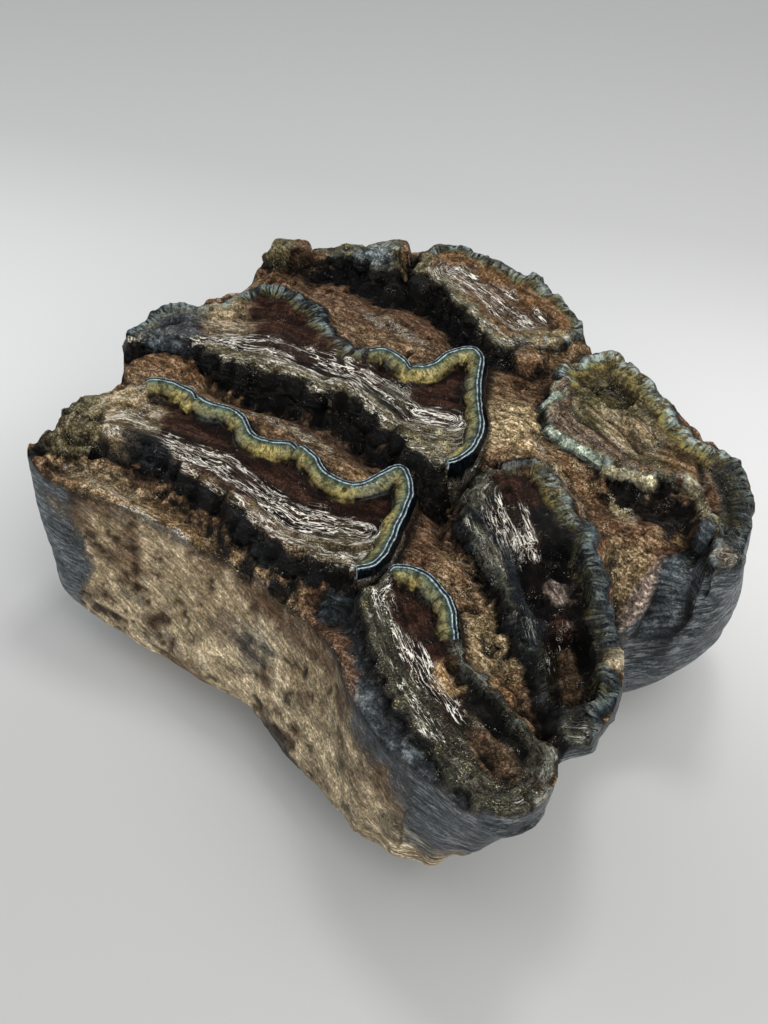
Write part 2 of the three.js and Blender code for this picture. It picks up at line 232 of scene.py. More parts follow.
def wall_profile(middle, low, rest):
    """How far out a wall of these offsets stands at each whole step of height."""
    corners = np.array([
        (wall_levels["rest"], rest), (wall_levels["low"], low), (wall_levels["middle"], middle),
        (wall_levels["shoulder"], 0), (wall_levels["top"], -1),
    ], float)
    padded = np.vstack([corners[0], corners, corners[-1]])
    t = np.linspace(0, 1, 12, endpoint=False)[:, None]
    curves = [
        bend(here, (after - before) / 2, after, (beyond - here) / 2, t)
        for before, here, after, beyond in zip(padded, padded[1:], padded[2:], padded[3:])
    ]
    profile = np.vstack([*curves, corners[-1]])
    return np.interp(wall_heights, profile[:, 0], profile[:, 1])


wall_heights = np.arange(0, wall_top + wall_rise / 2, wall_rise)
station_table = np.array(stations, float)
shoulder_curve = spans(station_table[:, :2], per_station)
blend = smooth(0, 1, np.arange(per_station) / per_station)[None, :, None]
station_values = (
    station_table[:, None, 2:] * (1 - blend) + np.roll(station_table, -1, 0)[:, None, 2:] * blend
).reshape(-1, 4)
wall_columns = evenly(np.hstack([shoulder_curve, station_values]), wall_gap)
tooth_ring = evenly(shoulder_curve, ring_gap)

# The lophs: half plates of enamel, folded round dentine. Outlines run counter-clockwise on the chewing
# plane. Between the two places in `polished` the worn rim is whole; elsewhere it broke away `drop` lower.
crown_height = 40  # height of the chewing plane
basin_depth = 2.2  # how far the dentine is worn down below it
scallop_width = 4.8  # folds of the enamel's edge
scallop_depth = 0.75
foot_depth = 14.5  # how far down below the plane a loph's block goes, and how fast it draws in there
foot_taper = 0.45
lophs = {
    "front_left": {
        "outline": [
            (-42, -30), (-34, -26.3), (-27.5, -25.3), (-21.5, -25.8), (-12, -26.8), (-6.5, -28.3),
            (-2, -28.3), (6.8, -27.3), (10.3, -25.8), (12, -23.5), (12, -20), (10.5, -15.5), (9, -11),
            (7.5, -8), (4.5, -5), (2, -4.8), (0.5, -7.5), (-0.5, -11), (-2.5, -12.2), (-5.5, -12),
            (-8.5, -10.4), (-12.5, -10), (-16.5, -12), (-19, -12.4), (-22.5, -10.3), (-25.5, -10),
            (-29.5, -11), (-34, -10.5), (-40.5, -12.4), (-44, -18.5), (-46.8, -23.5), (-47.2, -29),
            (-45.8, -34),
        ],
        "spine": [(-37, -23), (-20, -19), (-4, -21), (5, -17)],
        "polished": ((10.5, -26), (-40, -12.2)),
        "slope": 3.2, "drop": 0.5,
    },
    "front_right": {
        "outline": [
            (12.5, -27.5), (14.5, -30.5), (18, -33.5), (22, -36.5), (26.5, -39.5), (31, -41.5),
            (35.5, -43), (43, -45.3), (46, -45.5), (48.5, -44), (50, -41), (50, -37.5), (48, -34),
            (45.5, -32.5), (41.5, -32), (38.5, -31), (32, -28.5), (29.5, -27.5), (27.5, -25),
            (24.5, -22), (21, -20), (18, -19.3), (15, -20), (12.8, -21.5), (12.3, -24),
        ],
        "spine": [(17, -25), (28, -33), (43, -39)],
        "polished": ((28.5, -26.2), (13.5, -20.8)),
        "slope": 0.8, "drop": 0.7,
    },
    "middle_left": {
        "outline": [
            (-49, -9.5), (-45.5, -5), (-40.5, -3.5), (-31.5, -2.8), (-27.5, -0.5), (-22, -0.2),
            (-16.5, 1), (-14.5, 3), (-10, 1.5), (-4, -0.5), (0.5, -2), (4.5, -2.5), (8, -1), (9.5, 2.5),
            (9, 6.5), (7, 10.5), (3.5, 14.5), (1, 18.5), (-1.5, 22.5), (-4.2, 24.2), (-6.5, 23),
            (-8, 20), (-8.3, 16.8), (-10, 15), (-13, 15.5), (-16, 15.5), (-19, 13.7), (-23, 13.7),
            (-27, 15.5), (-31, 17.7), (-38, 18.7), (-42.3, 16.8), (-45.3, 10.3), (-48, 6.3),
            (-51.8, 2.5), (-52.4, -3), (-51.6, -9),
        ],
        "spine": [(-44, -1), (-33, 7), (-16, 9), (-4, 7), (1, 9)],
        "polished": ((8, -1), (-17, 15)),
        "slope": 2.4, "drop": 0.1,
    },
    "middle_right": {
        "outline": [
            (14.5, -8), (17.5, -10.5), (21, -12), (28, -17.5), (32, -21), (36, -23.5), (39.5, -26),
            (42.5, -28.2), (45.5, -30.5), (48.5, -32.3), (50.3, -30), (50, -26), (49.3, -21.5),
            (47.5, -17), (44.5, -13.5), (41, -10), (38, -5.5), (35, -2), (31.5, 1.2), (27.5, 4),
            (24, 6.3), (21, 8.2), (18, 9), (15, 7.7), (12.8, 5.5), (11.2, 2.3), (11.5, -1.5), (12.8, -5),
        ],
        "spine": [(18, 1), (30, -9), (44, -23)],
        "slope": 2.0, "drop": 0.3,
    },
    "right": {
        "outline": [
            (13.5, 16), (17, 14.5), (22.5, 14), (28.5, 13.3), (31.5, 15), (34.5, 17), (38, 17.3),
            (41.5, 14.8), (45, 10.5), (47.5, 6), (50.3, 6), (50.7, 10), (49, 14), (47.8, 18.3),
            (45, 22.5), (41.7, 25.8), (38.7, 27.8), (33.5, 27.8), (30.5, 29.5), (26.5, 31), (24, 34),
            (20, 36), (16, 37.3), (12, 36.6), (9.4, 33.2), (8, 28.8), (9.4, 23), (11, 18.7),
        ],
        "spine": [(16, 25), (28, 21.5), (39, 21), (46.5, 13)],
        "slope": 0.8, "drop": 0.5,
    },
    "back_right": {
        "outline": [
            (-23, 35.5), (-19, 34.5), (-14.5, 32), (-8.5, 29), (-4.5, 27.5), (-1.5, 27.7), (3, 32),
            (5.2, 34.7), (6.7, 37.6), (3.7, 41.6), (-0.5, 44.3), (-4.5, 45.8), (-8.5, 46.6), (-14, 46),
            (-20.5, 46.4), (-25.8, 44.6), (-27.5, 40), (-26, 36),
        ],
        "spine": [(-20, 40), (-9, 38), (-1, 36)],
        "slope": 0.8, "drop": 0.3,
    },
    "back_left": {
        "outline": [
            (-48, 22.6), (-42.5, 25.5), (-38.5, 29), (-35, 31.5), (-30, 30.8), (-26.3, 31.5),
            (-26.5, 34.5), (-29, 36), (-33, 38.2), (-38.5, 33.5), (-43.5, 28.5), (-48.5, 26.3),
        ],
        "spine": [(-44, 26.3), (-36, 32.6), (-30, 33.6)],
        "slope": 1.2, "drop": 0.2,
    },
}
# Steps over a rim: how far in from the edge, and how far below the chewing plane, whole and broken.
whole_rim = [
    (0, 1.0), (0.2, 0.35), (0.45, 0.1), (1.1, 0.02), (1.9, 0.3), (2.8, 0.8), (3.15, 1.25), (3.4, 1.9),
    (3.8, 2.1),
]
broken_rim = [(0, 1.5), (0.35, 0.95), (0.9, 0.8), (2.6, 0.85), (3.9, 1.05), (6, 1.3)]
lobe_width = 4.4  # lobes on the inner side of the whole rim
lobe_share = 0.11
break_run = 3  # a rim goes from whole to broken within this
all_broken = -9  # the whole stretch of a loph whose rim is broken all round, less than none
outline_steps = 8  # steps of an outline's curve between two of its places
outline_gap = 0.5  # spacing of the places on a loph's ring


def lattice(column, row, layer, seed):
    """A fixed random value from -1 to 1 for each point of a lattice of whole numbers."""
    mixed = (column * 374761393 + row * 668265263 + layer * 1440662683 + seed * 1013904223) & 0xFFFFFFFF
    mixed = ((mixed ^ (mixed >> 13)) * 1274126177) & 0xFFFFFFFF
    return ((mixed ^ (mixed >> 16)) & 0xFFFF) / 32767.5 - 1


def grain(places, lump, seed=0):
    """Smooth random values about 0 in space, with lumps of this size, or of these three sizes."""
    scaled = places / np.asarray(lump, float)
    corner = np.floor(scaled).astype(np.int64)
    part = scaled - corner
    part = part * part * (3 - 2 * part)
    total = np.zeros(len(places))
    for dx in (0, 1):
        for dy in (0, 1):
            for dz in (0, 1):
                weight = (
                    np.where(dx, part[:, 0], 1 - part[:, 0])
                    * np.where(dy, part[:, 1], 1 - part[:, 1])
                    * np.where(dz, part[:, 2], 1 - part[:, 2])
                )
                total += weight * lattice(corner[:, 0] + dx, corner[:, 1] + dy, corner[:, 2] + dz, seed)
    return total


def measure(places, ring):
    """How far inside a closed ring places lie (negative outside), and how far round it they are."""
    start, end = ring, np.roll(ring, -1, 0)
    step = end - start
    length = np.linalg.norm(step, axis=1)
    run = np.cumsum(length) - length
    inset, around = np.empty(len(places)), np.empty(len(places))
    batch_size = 3000  # places at a time, to save memory
    for first in range(0, len(places), batch_size):
        batch = slice(first, first + batch_size)
        off = places[batch, None] - start[None]
        share = np.clip((off * step).sum(2) / length**2, 0, 1)
        away = np.hypot(off[..., 0] - share * step[:, 0], off[..., 1] - share * step[:, 1])
        nearest = away.argmin(1)
        rows = np.arange(len(nearest))
        spans_row = (start[:, 1] > places[batch, None, 1]) != (end[:, 1] > places[batch, None, 1])
        slope = np.where(step[:, 1] == 0, 1e-9, step[:, 1])
        crossing = start[:, 0] + (places[batch, None, 1] - start[:, 1]) * step[:, 0] / slope
        inside = (spans_row & (places[batch, None, 0] < crossing)).sum(1) % 2 == 1
        inset[batch] = np.where(inside, 1, -1) * away[rows, nearest]
        around[batch] = run[nearest] + share[rows, nearest] * length[nearest]
    return inset, around


def beside(places, line):
    """How far along an open line places lie, and how far to its left (+) or right (-)."""
    points = np.asarray(line, float)
    best = np.full(len(places), np.inf)
    along, side = np.zeros(len(places)), np.zeros(len(places))
    run = 0
    for a, b in zip(points[:-1], points[1:]):
        length = np.linalg.norm(b - a)
        unit = (b - a) / length
        off = places - a
        forward = off @ unit
        held = np.clip(forward, 0, length)
        away = np.linalg.norm(off - held[:, None] * unit, axis=1)
        nearer = away < best
        best = np.where(nearer, away, best)
        left = unit[0] * off[:, 1] - unit[1] * off[:, 0]
        along = np.where(nearer, run + forward, along)
        side = np.where(nearer, np.sign(left) * away, side)
        run += length
    return along, side


for loph in lophs.values():
    loph["ring"] = evenly(spans(loph["outline"], outline_steps), outline_gap)
    steps = np.roll(loph["ring"], -1, 0) - loph["ring"]
    loph["length"] = np.linalg.norm(steps, axis=1).sum()
    ends = [measure(np.array([place], float), loph["ring"])[1][0] for place in loph.get("polished", [])]
    loph["start"] = ends[0] if ends else 0
    loph["stretch"] = (ends[1] - ends[0]) % loph["length"] if ends else all_broken


def brokenness(loph, around):
    """0 where the rim is whole and polished, 1 where it is broken."""
    past = (around - loph["start"]) % loph["length"]
    margin = np.minimum(past, loph["stretch"] - past)
    return smooth(0, break_run, -margin)


def lobed(inset, around):
    """The depth into a whole rim, with the inner side of the enamel drawn out in lobes."""
    lobe = np.abs(np.sin(math.pi * around / lobe_width + 0.8 * np.sin(around * 0.31)))
    width = 1 - lobe_share + 1.5 * lobe_share * lobe
    return inset * (1 + (1 / width - 1) * smooth(1.2, 3.0, inset))


def bulges(loph, around, broken):
    """How far the folds and chips of the enamel set its edge in."""
    line = np.column_stack([around, np.zeros_like(around), np.zeros_like(around)])
    fold = np.abs(np.sin(math.pi * (around / scallop_width + 0.5 * grain(line, 5, 16))))
    chips = 0.24 * grain(line, 1.1, 11) + 0.6 * grain(line, 3.0, 12)
    return broken * (scallop_depth * (0.5 - fold) + chips) + (1 - broken) * 0.12 * grain(line, 2.2, 13)


# The cement fills the valleys between the lophs. It is lowest along the scarps, where the near side of each
# loph broke away, and swells here and there; hollows were broken out, and lumps left standing. Depths count
# down from the chewing plane.
valley_depth = 2.6
deepest_cement = 14
ring_reach = 7  # a loph has a say this far outside its ring
scarp_reach = 4
scarps = [  # depth, and line on the plan
    (6.5, [(-41, -31.5), (-33, -28.5), (-20, -28), (-3, -31), (9, -29.5)]),
    (7.5, [(-34, -3.6), (-28, -2.5), (-15, 1), (-3, -2), (5, -4), (10, -2)]),
    (4.6, [(-38, 27.5), (-35, 30), (-27, 29.5)]),
    (6, [(-24, 34), (-14, 30.5), (-5, 26)]),
    (5.5, [(30, 12), (37, 15), (43, 10.5)]),
    (5.6, [(10, 1), (13, -8), (21, -13), (32, -22.5), (41, -29)]),
    (4, [(12, -31), (21, -37.5), (29, -42)]),
]
swells = [  # place, reach, and rise
    (10, 12, 7, 2.2), (26, 9, 7, -1.5), (39, -2, 7.5, -9.5), (30, -19, 5, 1.8), (20, -14, 4, 2),
    (10, 26, 5, -1.5), (12, 39, 5, -2.5), (-30, 24, 7, 0.5), (-48, 20, 5, -2), (-45, -9, 6, 0.8),
    (37, -25, 4, 1.5), (48, -31.5, 3.5, -6),
]
hollows = [  # place, half sizes, and turn; a lump also has how far it leans
    ((31.5, -9, 39.5), (7.5, 4.6, 4.6), -45), ((41.5, -20.5, 39), (7, 3.2, 4.2), -52),
    ((17.5, 29.5, 40), (3.6, 2.6, 4), -20), ((43.5, -37.5, 40.5), (4.5, 3.2, 3), -20),
    ((36.5, -32.6, 39.5), (8.5, 1.5, 2.4), -22),
]
lumps = [
    ((1.5, 28.6, 36.2), (4.2, 2.4, 3), -35, 0.1),
    ((-22.6, 33.4, 36.2), (1.9, 1.7, 3), 0, 0), ((44.2, 12, 38.2), (1.8, 1.8, 2.2), 0, 0),
    ((-44.8, 26.4, 39), (3.6, 2, 1.7), 25, 0), ((-31.5, 35.8, 39), (4, 2, 1.7), 35, 0.2),
]
sleek_lines = [  # bare, smooth enamel at the top of two walls
    [(11, -28), (17, -35), (25, -41), (33, -45), (42, -48)],
    [(45.5, 8), (44, 3), (43.5, -2), (44, -8)],
]
sleek_reach = 4.5
right_edge_at = 40.2  # the right wall falls away past this line, from these heights along it
right_edge = [(-8, 22), (-2.8, 25.6), (3.9, 30.4), (8, 32.9), (11.3, 33.5)]
right_slope = 0.5  # how steeply it falls at first, and how much steeper it becomes
right_steepening = 0.08
edge_drop = 1.3  # how far the cement drops at the very edge of the tooth, and how far in that reaches
edge_reach = 0.7
crack_width = 0.45
crack_depth = 0.9
cracks = [
    [(-31.6, -10.2), (-31.9, -14.6)], [(-9.6, 10.6), (-10.4, 15.2)], [(4.2, 13.2), (8.2, 9.4)],
    [(-12.6, -13.8), (-12.4, -9.6)], [(27.4, -25.4), (24.2, -24.6)], [(35.5, 24.2), (39, 18.9)],
    [(39, 18.9), (42.5, 15.6)], [(42.5, 15.6), (45.4, 12.2)], [(19.5, 24.6), (28, 20.6)],
    [(21, 27), (30, 23.4)],
]


def in_space(plan, height=0):
    """Places of the plan, lifted to a height."""
    return np.column_stack([plan, np.full(len(plan), float(height))])


def turned(off, turn, reach):
    """Offsets on a plan turned by so many degrees, as shares of a reach each way."""
    angle = math.radians(turn)
    across = (off[:, 0] * math.cos(angle) + off[:, 1] * math.sin(angle)) / reach[0]
    along = (off[:, 1] * math.cos(angle) - off[:, 0] * math.sin(angle)) / reach[1]
    return across, along


def pebble(plan, at, half, turn):
    """The half thickness of a turned, flat-topped stone over places of the plan, 0 outside it."""
    across, along = turned(plan - np.asarray(at[:2], float), turn, half)
    ragged = 1 + 0.14 * grain(in_space(plan), 1.4, 21)
    swell = np.sqrt(np.clip(1 - (across**4 + along**4) * ragged, 0, 1))
    return half[2] * np.minimum(1.5 * swell, 0.85 + 0.15 * swell)


def crown_at(plan):
    """What the worn crown is at places of the plan: its height, and the tissue that lies there."""
    count = len(plan)
    flat = in_space(plan)
    found = {name: np.zeros(count) for name in ("around", "along", "side", "drop", "slope")}
    found["inset"] = np.full(count, -20.0)  # far outside every loph
    found["broken"] = np.ones(count)
    found["loph"] = np.full(count, -1)
    for number, loph in enumerate(lophs.values()):
        ring = loph["ring"]
        near = np.flatnonzero(((plan > ring.min(0) - ring_reach) & (plan < ring.max(0) + ring_reach)).all(1))
        inset, around = measure(plan[near], ring)
        broken = brokenness(loph, around)
        inset = inset - bulges(loph, around, broken)
        along, side = beside(plan[near], loph["spine"])
        better = inset > found["inset"][near]
        chosen = near[better]
        here = {"inset": inset, "around": around, "broken": broken, "along": along, "side": side}
        for name, values in here.items():
            found[name][chosen] = values[better]
        found["drop"][chosen] = loph["drop"]
        found["slope"][chosen] = loph["slope"]
        found["loph"][chosen] = number
    inset, broken, drop = found["inset"], found["broken"], found["drop"]

    # How deep the cement lies, and how smooth the sleek enamel at the top of two walls leaves it.
    scarp = np.zeros(count)
    cement = np.full(count, float(valley_depth))
    for depth, line in scarps:
        away = np.abs(beside(plan, line)[1]) / scarp_reach
        nearness = np.exp(-away * away)
        cement += (depth - valley_depth) * nearness
        scarp = np.maximum(scarp, nearness)
    for x, y, radius, rise in swells:
        cement -= rise * np.exp(-((plan[:, 0] - x) ** 2 + (plan[:, 1] - y) ** 2) / radius**2)
    cement = np.minimum(cement, deepest_cement)
    line_height = np.interp(plan[:, 1], *zip(*right_edge))
    beyond = np.clip(plan[:, 0] - right_edge_at, 0, None)
    fall = crown_height - line_height + right_slope * beyond + right_steepening * beyond**2
    past_edge = smooth(-0.5, 0.8, plan[:, 0] - right_edge_at)
    past_edge = past_edge * smooth(-13, -9, plan[:, 1]) * smooth(10.5, 2, plan[:, 1])
    cement = np.maximum(cement, past_edge * fall)
    off_sleek = np.abs([beside(plan, line)[1] for line in sleek_lines]).min(0)
    sleek = np.exp(-((off_sleek / sleek_reach) ** 2))
    rough = 1 - 0.95 * sleek
    cement += rough * (0.42 * grain(flat, 5, 1) + 0.22 * grain(flat, 2, 2) + 0.14 * grain(flat, 0.9, 3))
    cement += rough * 0.9 * smooth(0.55, 0.9, grain(flat, 1.7, 4))
    border, _ = measure(plan, tooth_ring)
    cement += edge_drop * np.exp(-np.clip(border, 0, None) / edge_reach)

    # How deep the lophs lie: a whole or a broken rim, and the fibrous dentine inside it.
    within = np.clip(inset, 0, None)
    whole_depth = np.interp(lobed(within, found["around"]), *zip(*whole_rim))
    broken_depth = np.interp(within, *zip(*broken_rim)) + drop
    deep = smooth(3, 6, within)
    whole_depth += 0.35 * drop * deep
    broken_depth += (basin_depth - 1.3 - 0.65 * drop) * deep
    rim = np.exp(-(((within - 1.4) / 2.4) ** 2))
    jagged = 0.32 * grain(flat, 1.5, 5) + 0.34 * grain(flat, 0.8, 6)
    jagged -= 0.5 * smooth(0.2, 0.5, grain(flat, 2.6, 7))
    threads = in_space(np.column_stack([found["along"], found["side"]]))
    fibres = 0.34 * grain(threads, (7, 1.1, 1), 8) + 0.24 * grain(threads, (3, 0.6, 1), 9)
    fibres += 0.4 * grain(flat, 5, 10)
    depth = whole_depth + (broken_depth + rim * jagged - whole_depth) * broken
    depth += fibres * smooth(3.2, 4.6, within)
    # On its near side a broken rim falls away in a ragged slope before the scarp.
    bitten = found["slope"] * (1 + 0.45 * grain(flat, 3.6, 22) + 0.25 * grain(flat, 1.5, 23))
    fallen = broken * smooth(0.4, -0.4, found["side"]) * smooth(bitten, 0.25 * bitten - 0.4, inset)
    ledge = 0.16 * np.sin(2.6 * math.pi * fallen + 2.5 * grain(flat, 4, 25)) + 0.22 * grain(flat, 1.2, 26)
    ragged_fall = fallen * (0.75 + 0.3 * grain(flat, 1.8, 24)) + ledge * smooth(0, 0.3, fallen)
    depth += found["slope"] * ragged_fall
    for line in cracks:
        run, side = beside(plan, line)
        length = np.linalg.norm(np.subtract(*line))
        depth += crack_depth * np.exp(-((side / crack_width) ** 2)) * (run > 0) * (run < length)

    # Each loph stands up out of the cement, with rubble at its foot where its rim broke away.
    rubble = rough * (0.6 * grain(flat, 2.2, 17) + 0.4 * grain(flat, 1.0, 18))
    foot = 0.4 + broken * (0.5 + 1.7 * rough + 1.3 * rubble)
    up = smooth(-foot, 0.12, inset)
    up = np.clip(up + 1.8 * rubble * broken * up * (1 - up), 0, 1)
    depth = cement + (depth - cement) * up
    for at, half, turn in hollows:
        thickness = pebble(plan, at, half, turn)
        broken_floor = 0.9 * grain(flat, 2.8, 14) + 0.5 * grain(flat, 1.2, 20)
        sunk = np.where(thickness > 0, crown_height - at[2] + thickness + broken_floor, -9)
        depth = np.maximum(depth, sunk)
    for at, half, turn, lean in lumps:
        thickness = pebble(plan, at, half, turn)
        way = math.cos(math.radians(turn)), math.sin(math.radians(turn))
        uphill = (plan - np.asarray(at[:2])) @ way
        raised = crown_height - at[2] - thickness - lean * uphill + 0.2 * grain(flat, 1.3, 15)
        raised = np.where(thickness > 0, raised, 99)
        depth = np.minimum(depth, raised)
    found.update(height=crown_height - depth, scarp=scarp, sleek=sleek, fallen=fallen)
    return found


# The rough block of the tooth: walls lofted through their columns, with a column for each loph, all one
# closed solid, then cut down to the worn surface.
def sheet(columns, rows, place):
    """A grid of so many cells each way, with each corner moved to place(column, row)."""
    form = bmesh.new()
    bmesh.ops.create_grid(form, x_segments=columns, y_segments=rows, size=1)
    for vert in form.verts:
        vert.co = place(round((vert.co.x + 1) / 2 * columns), round((vert.co.y + 1) / 2 * rows))
    return form


def open_edges(form):
    """The edges that have a face on one side only."""
    return [edge for edge in form.edges if edge.is_boundary]


def skin(name, rings):
    """A closed skin through rings that have the same number of places, filled at both ends."""
    count = len(rings[0])
    form = sheet(count, len(rings) - 1, lambda column, row: rings[row][column % count])
    bmesh.ops.remove_doubles(form, verts=form.verts, dist=1e-5)
    bmesh.ops.holes_fill(form, edges=open_edges(form), sides=0)
    bmesh.ops.triangulate(form, faces=[face for face in form.faces if len(face.verts) > 4])
    bmesh.ops.recalc_face_normals(form, faces=form.faces)
    return stood(name, form)


def combine(body, tool, operation):
    """Joins a second solid to the body or cuts the body with it, and clears the second one away."""
    cut = body.modifiers.new("cut", "BOOLEAN")
    cut.operation = operation
    cut.solver = "MANIFOLD"
    cut.object = tool
    made = bpy.data.meshes.new_from_object(body.evaluated_get(bpy.context.evaluated_depsgraph_get()))
    body.modifiers.clear()
    spent = body.data
    body.data = made
    bpy.data.meshes.remove(spent)
    bpy.data.meshes.remove(tool.data)


outs = np.array([wall_profile(*column[2:5]) for column in wall_columns])
edges = wall_columns[:, :2]
outward = edges / np.linalg.norm(edges, axis=1)[:, None]
molar = skin(
    "fossil_molar",
    [in_space(edges + outs[:, k, None] * outward, height) for k, height in enumerate(wall_heights)],
)
# A loph's block is drawn in towards its spine low down, and ragged under its rim. None reaches past the
# wall below it, except near the top, where the rim stands proud.
wall_angles = np.arctan2(edges[:, 1], edges[:, 0])
wall_reach = np.linalg.norm(edges, axis=1)[:, None] + outs
foot_height = crown_height - foot_depth
column_gap = 0.7  # spacing of the columns of a loph's mesh
column_spare = 4.1  # how far they reach above the chewing plane, before they are cut down
rim_proud = 1.5
for name, loph in lophs.items():
    points = evenly(loph["ring"], column_gap)
    around = np.arange(len(points)) / len(points) * loph["length"]
    set_in = bulges(loph, around, brokenness(loph, around))
    spine = np.asarray(loph["spine"], float)
    nearest = np.empty_like(points)
    best = np.full(len(points), np.inf)
    for a, b in zip(spine[:-1], spine[1:]):
        share = np.clip(((points - a) @ (b - a)) / ((b - a) @ (b - a)), 0, 1)
        place = a + share[:, None] * (b - a)
        away = np.linalg.norm(points - place, axis=1)
        nearest = np.where((away < best)[:, None], place, nearest)
        best = np.minimum(best, away)
    inward = (nearest - points) / best[:, None]
    rings = []
    for height in np.arange(foot_height, crown_height + column_spare, wall_rise):
        low = smooth(foot_height, crown_height - 7, height)
        steps = (1 - low) * foot_taper * best + low * np.interp(height, (33, 38.8), (0.8, 0)) + set_in
        steps += (1 - smooth(34, 39, height)) * 0.5 * grain(in_space(points, height), 2.4, 19)
        places = points + np.clip(steps, 0, 0.8 * best)[:, None] * inward
        level = int(np.argmin(np.abs(wall_heights - height)))
        angles = np.arctan2(places[:, 1], places[:, 0])
        reach = np.interp(angles, wall_angles, wall_reach[:, level], period=2 * math.pi)
        reach += rim_proud * smooth(30, 36, height)
        away = np.linalg.norm(places, axis=1)
        rings.append(in_space(places * np.minimum(1, reach / away)[:, None], height))
    combine(molar, skin(name, rings), "UNION")

# The worn surface is a block with the crown for its top, and what stands out of it is ground away.
crown_cell = 0.42
crown_low, crown_high = np.array([-54.5, -47.5]), np.array([52.5, 48.5])
block_floor = -6
cells = np.round((crown_high - crown_low) / crown_cell).astype(int)
grid_lines = [np.linspace(crown_low[k], crown_high[k], cells[k] + 1) for k in (0, 1)]
grid_x, grid_y = np.meshgrid(*grid_lines, indexing="ij")
worn_heights = crown_at(np.column_stack([grid_x.ravel(), grid_y.ravel()]))["height"].reshape(grid_x.shape)
worn_places = np.dstack([grid_x, grid_y, worn_heights])
form = sheet(int(cells[0]), int(cells[1]), lambda column, row: worn_places[column, row])
for part in bmesh.ops.extrude_edge_only(form, edges=open_edges(form))["geom"]:
    if isinstance(part, bmesh.types.BMVert):
        part.co.z = block_floor
bmesh.ops.holes_fill(form, edges=open_edges(form), sides=0)
bmesh.ops.recalc_face_normals(form, faces=form.faces)
combine(molar, stood("worn_surface", form), "INTERSECT")

# Angular splinters of enamel and dentine stand in the broken places and along the scarps, bedded in the
# tooth. The large ones come first, each with its place, half sizes and turn; the small ones are strewn.
splinter_corners = 12
splinter_gap = 0.1
small_sizes = (0.45, 1.05)
small_offsets = (-1.5, 2.2)  # how far in from the ring of its loph a small one stands, or out from it (-)
small_lift = 0.1
small_chance = 0.75
edge_margin = 3  # none of them stands nearer the tooth's edge
splinters = [
    ((24.6, 23.2, 38.5), (5.6, 1.6, 1.2), -18), ((30.2, 19.8, 38.3), (3.4, 0.9, 0.9), -10),
    ((19.6, 26.8, 38.6), (3.0, 0.9, 0.8), -26), ((16.8, 22.6, 38.5), (2.6, 0.9, 0.8), -40),
    ((32.6, 23.4, 38.4), (2.4, 0.7, 0.7), -22), ((14.2, 30.0, 38.0), (2.0, 1.3, 1.1), 20),
    ((18.6, 31.4, 38.5), (1.9, 1.0, 0.7), -20), ((32.4, -8.8, 35.8), (2.7, 1.7, 1.2), -35),
    ((28.6, -5.2, 36.0), (1.6, 1.0, 0.8), 20), ((36.4, -13.6, 35.8), (1.9, 1.1, 0.9), -60),
    ((40.8, -18.4, 36.2), (2.2, 0.9, 0.8), -50), ((1.2, 28.8, 38.6), (1.7, 1.0, 0.8), -30),
    ((4.4, 30.2, 37.8), (1.3, 0.9, 0.7), 40), ((-1.6, 26.6, 37.6), (1.2, 0.8, 0.6), 10),
]
chance = np.random.default_rng(11)
for loph in lophs.values():
    ring = loph["ring"]
    steps = np.linalg.norm(np.roll(ring, -1, 0) - ring, axis=1)
    for k in np.flatnonzero(brokenness(loph, np.cumsum(steps)) > 0.9)[::4]:
        out = np.array([ring[k][1] - ring[k - 1][1], ring[k - 1][0] - ring[k][0]])
        size = chance.uniform(*small_sizes)
        at = ring[k] - out / np.linalg.norm(out) * chance.uniform(*small_offsets)
        inside = measure(at[None], tooth_ring)[0][0] > edge_margin
        near_side = beside(at[None], loph["spine"])[1][0] < 0
        if inside and near_side and loph["slope"] > 1 and chance.random() < small_chance:
            level = crown_at(at[None])["height"][0] + small_lift
            splinters.append(((*at, level), (1.5 * size, size, 0.8 * size), chance.uniform(0, 180)))
form = bmesh.new()
placed = []
for at, half, turn in splinters:
    if any(math.dist(at, other) < max(half) + reach + splinter_gap for other, reach in placed):
        continue
    placed.append((at, max(half)))
    corners = chance.normal(size=(splinter_corners, 3))
    corners *= np.asarray(half) / np.linalg.norm(corners, axis=1)[:, None]
    cosine, sine = math.cos(math.radians(turn)), math.sin(math.radians(turn))
    lean = chance.uniform(-0.3, 0.3)
    verts = [
        form.verts.new((at[0] + x * cosine - y * sine, at[1] + x * sine + y * cosine, at[2] + z + lean * y))
        for x, y, z in corners
    ]
    within_hull = bmesh.ops.convex_hull(form, input=verts)["geom_interior"]
    bmesh.ops.delete(form, geom=list({v for v in within_hull if isinstance(v, bmesh.types.BMVert)}))
bmesh.ops.recalc_face_normals(form, faces=form.faces)
combine(molar, stood("splinters", form), "UNION")

# Only what hangs together with the underside is kept, so no chip floats beside the tooth.
form = bmesh.new()
form.from_mesh(molar.data)
lowest = min(form.verts, key=lambda vert: vert.co.z)
reached, waiting = {lowest}, [lowest]
while waiting:
    for edge in waiting.pop().link_edges:
        for vert in edge.verts:
            if vert not in reached:
                reached.add(vert)
                waiting.append(vert)
bmesh.ops.delete(form, geom=[vert for vert in form.verts if vert not in reached])
form.to_mesh(molar.data)
form.free()

# What lies where: the tissues' colours are worked out for each point of the surface, from the lophs, the
# walls and the stains, and kept in the mesh for the finish to read.
def rows_of(points, name):
    """A vector kept for each point of a mesh, as rows of numbers."""
    values = np.empty(len(points) * 3, np.float32)
    points.foreach_get(name, values)
    return values.reshape(-1, 3).astype(float)


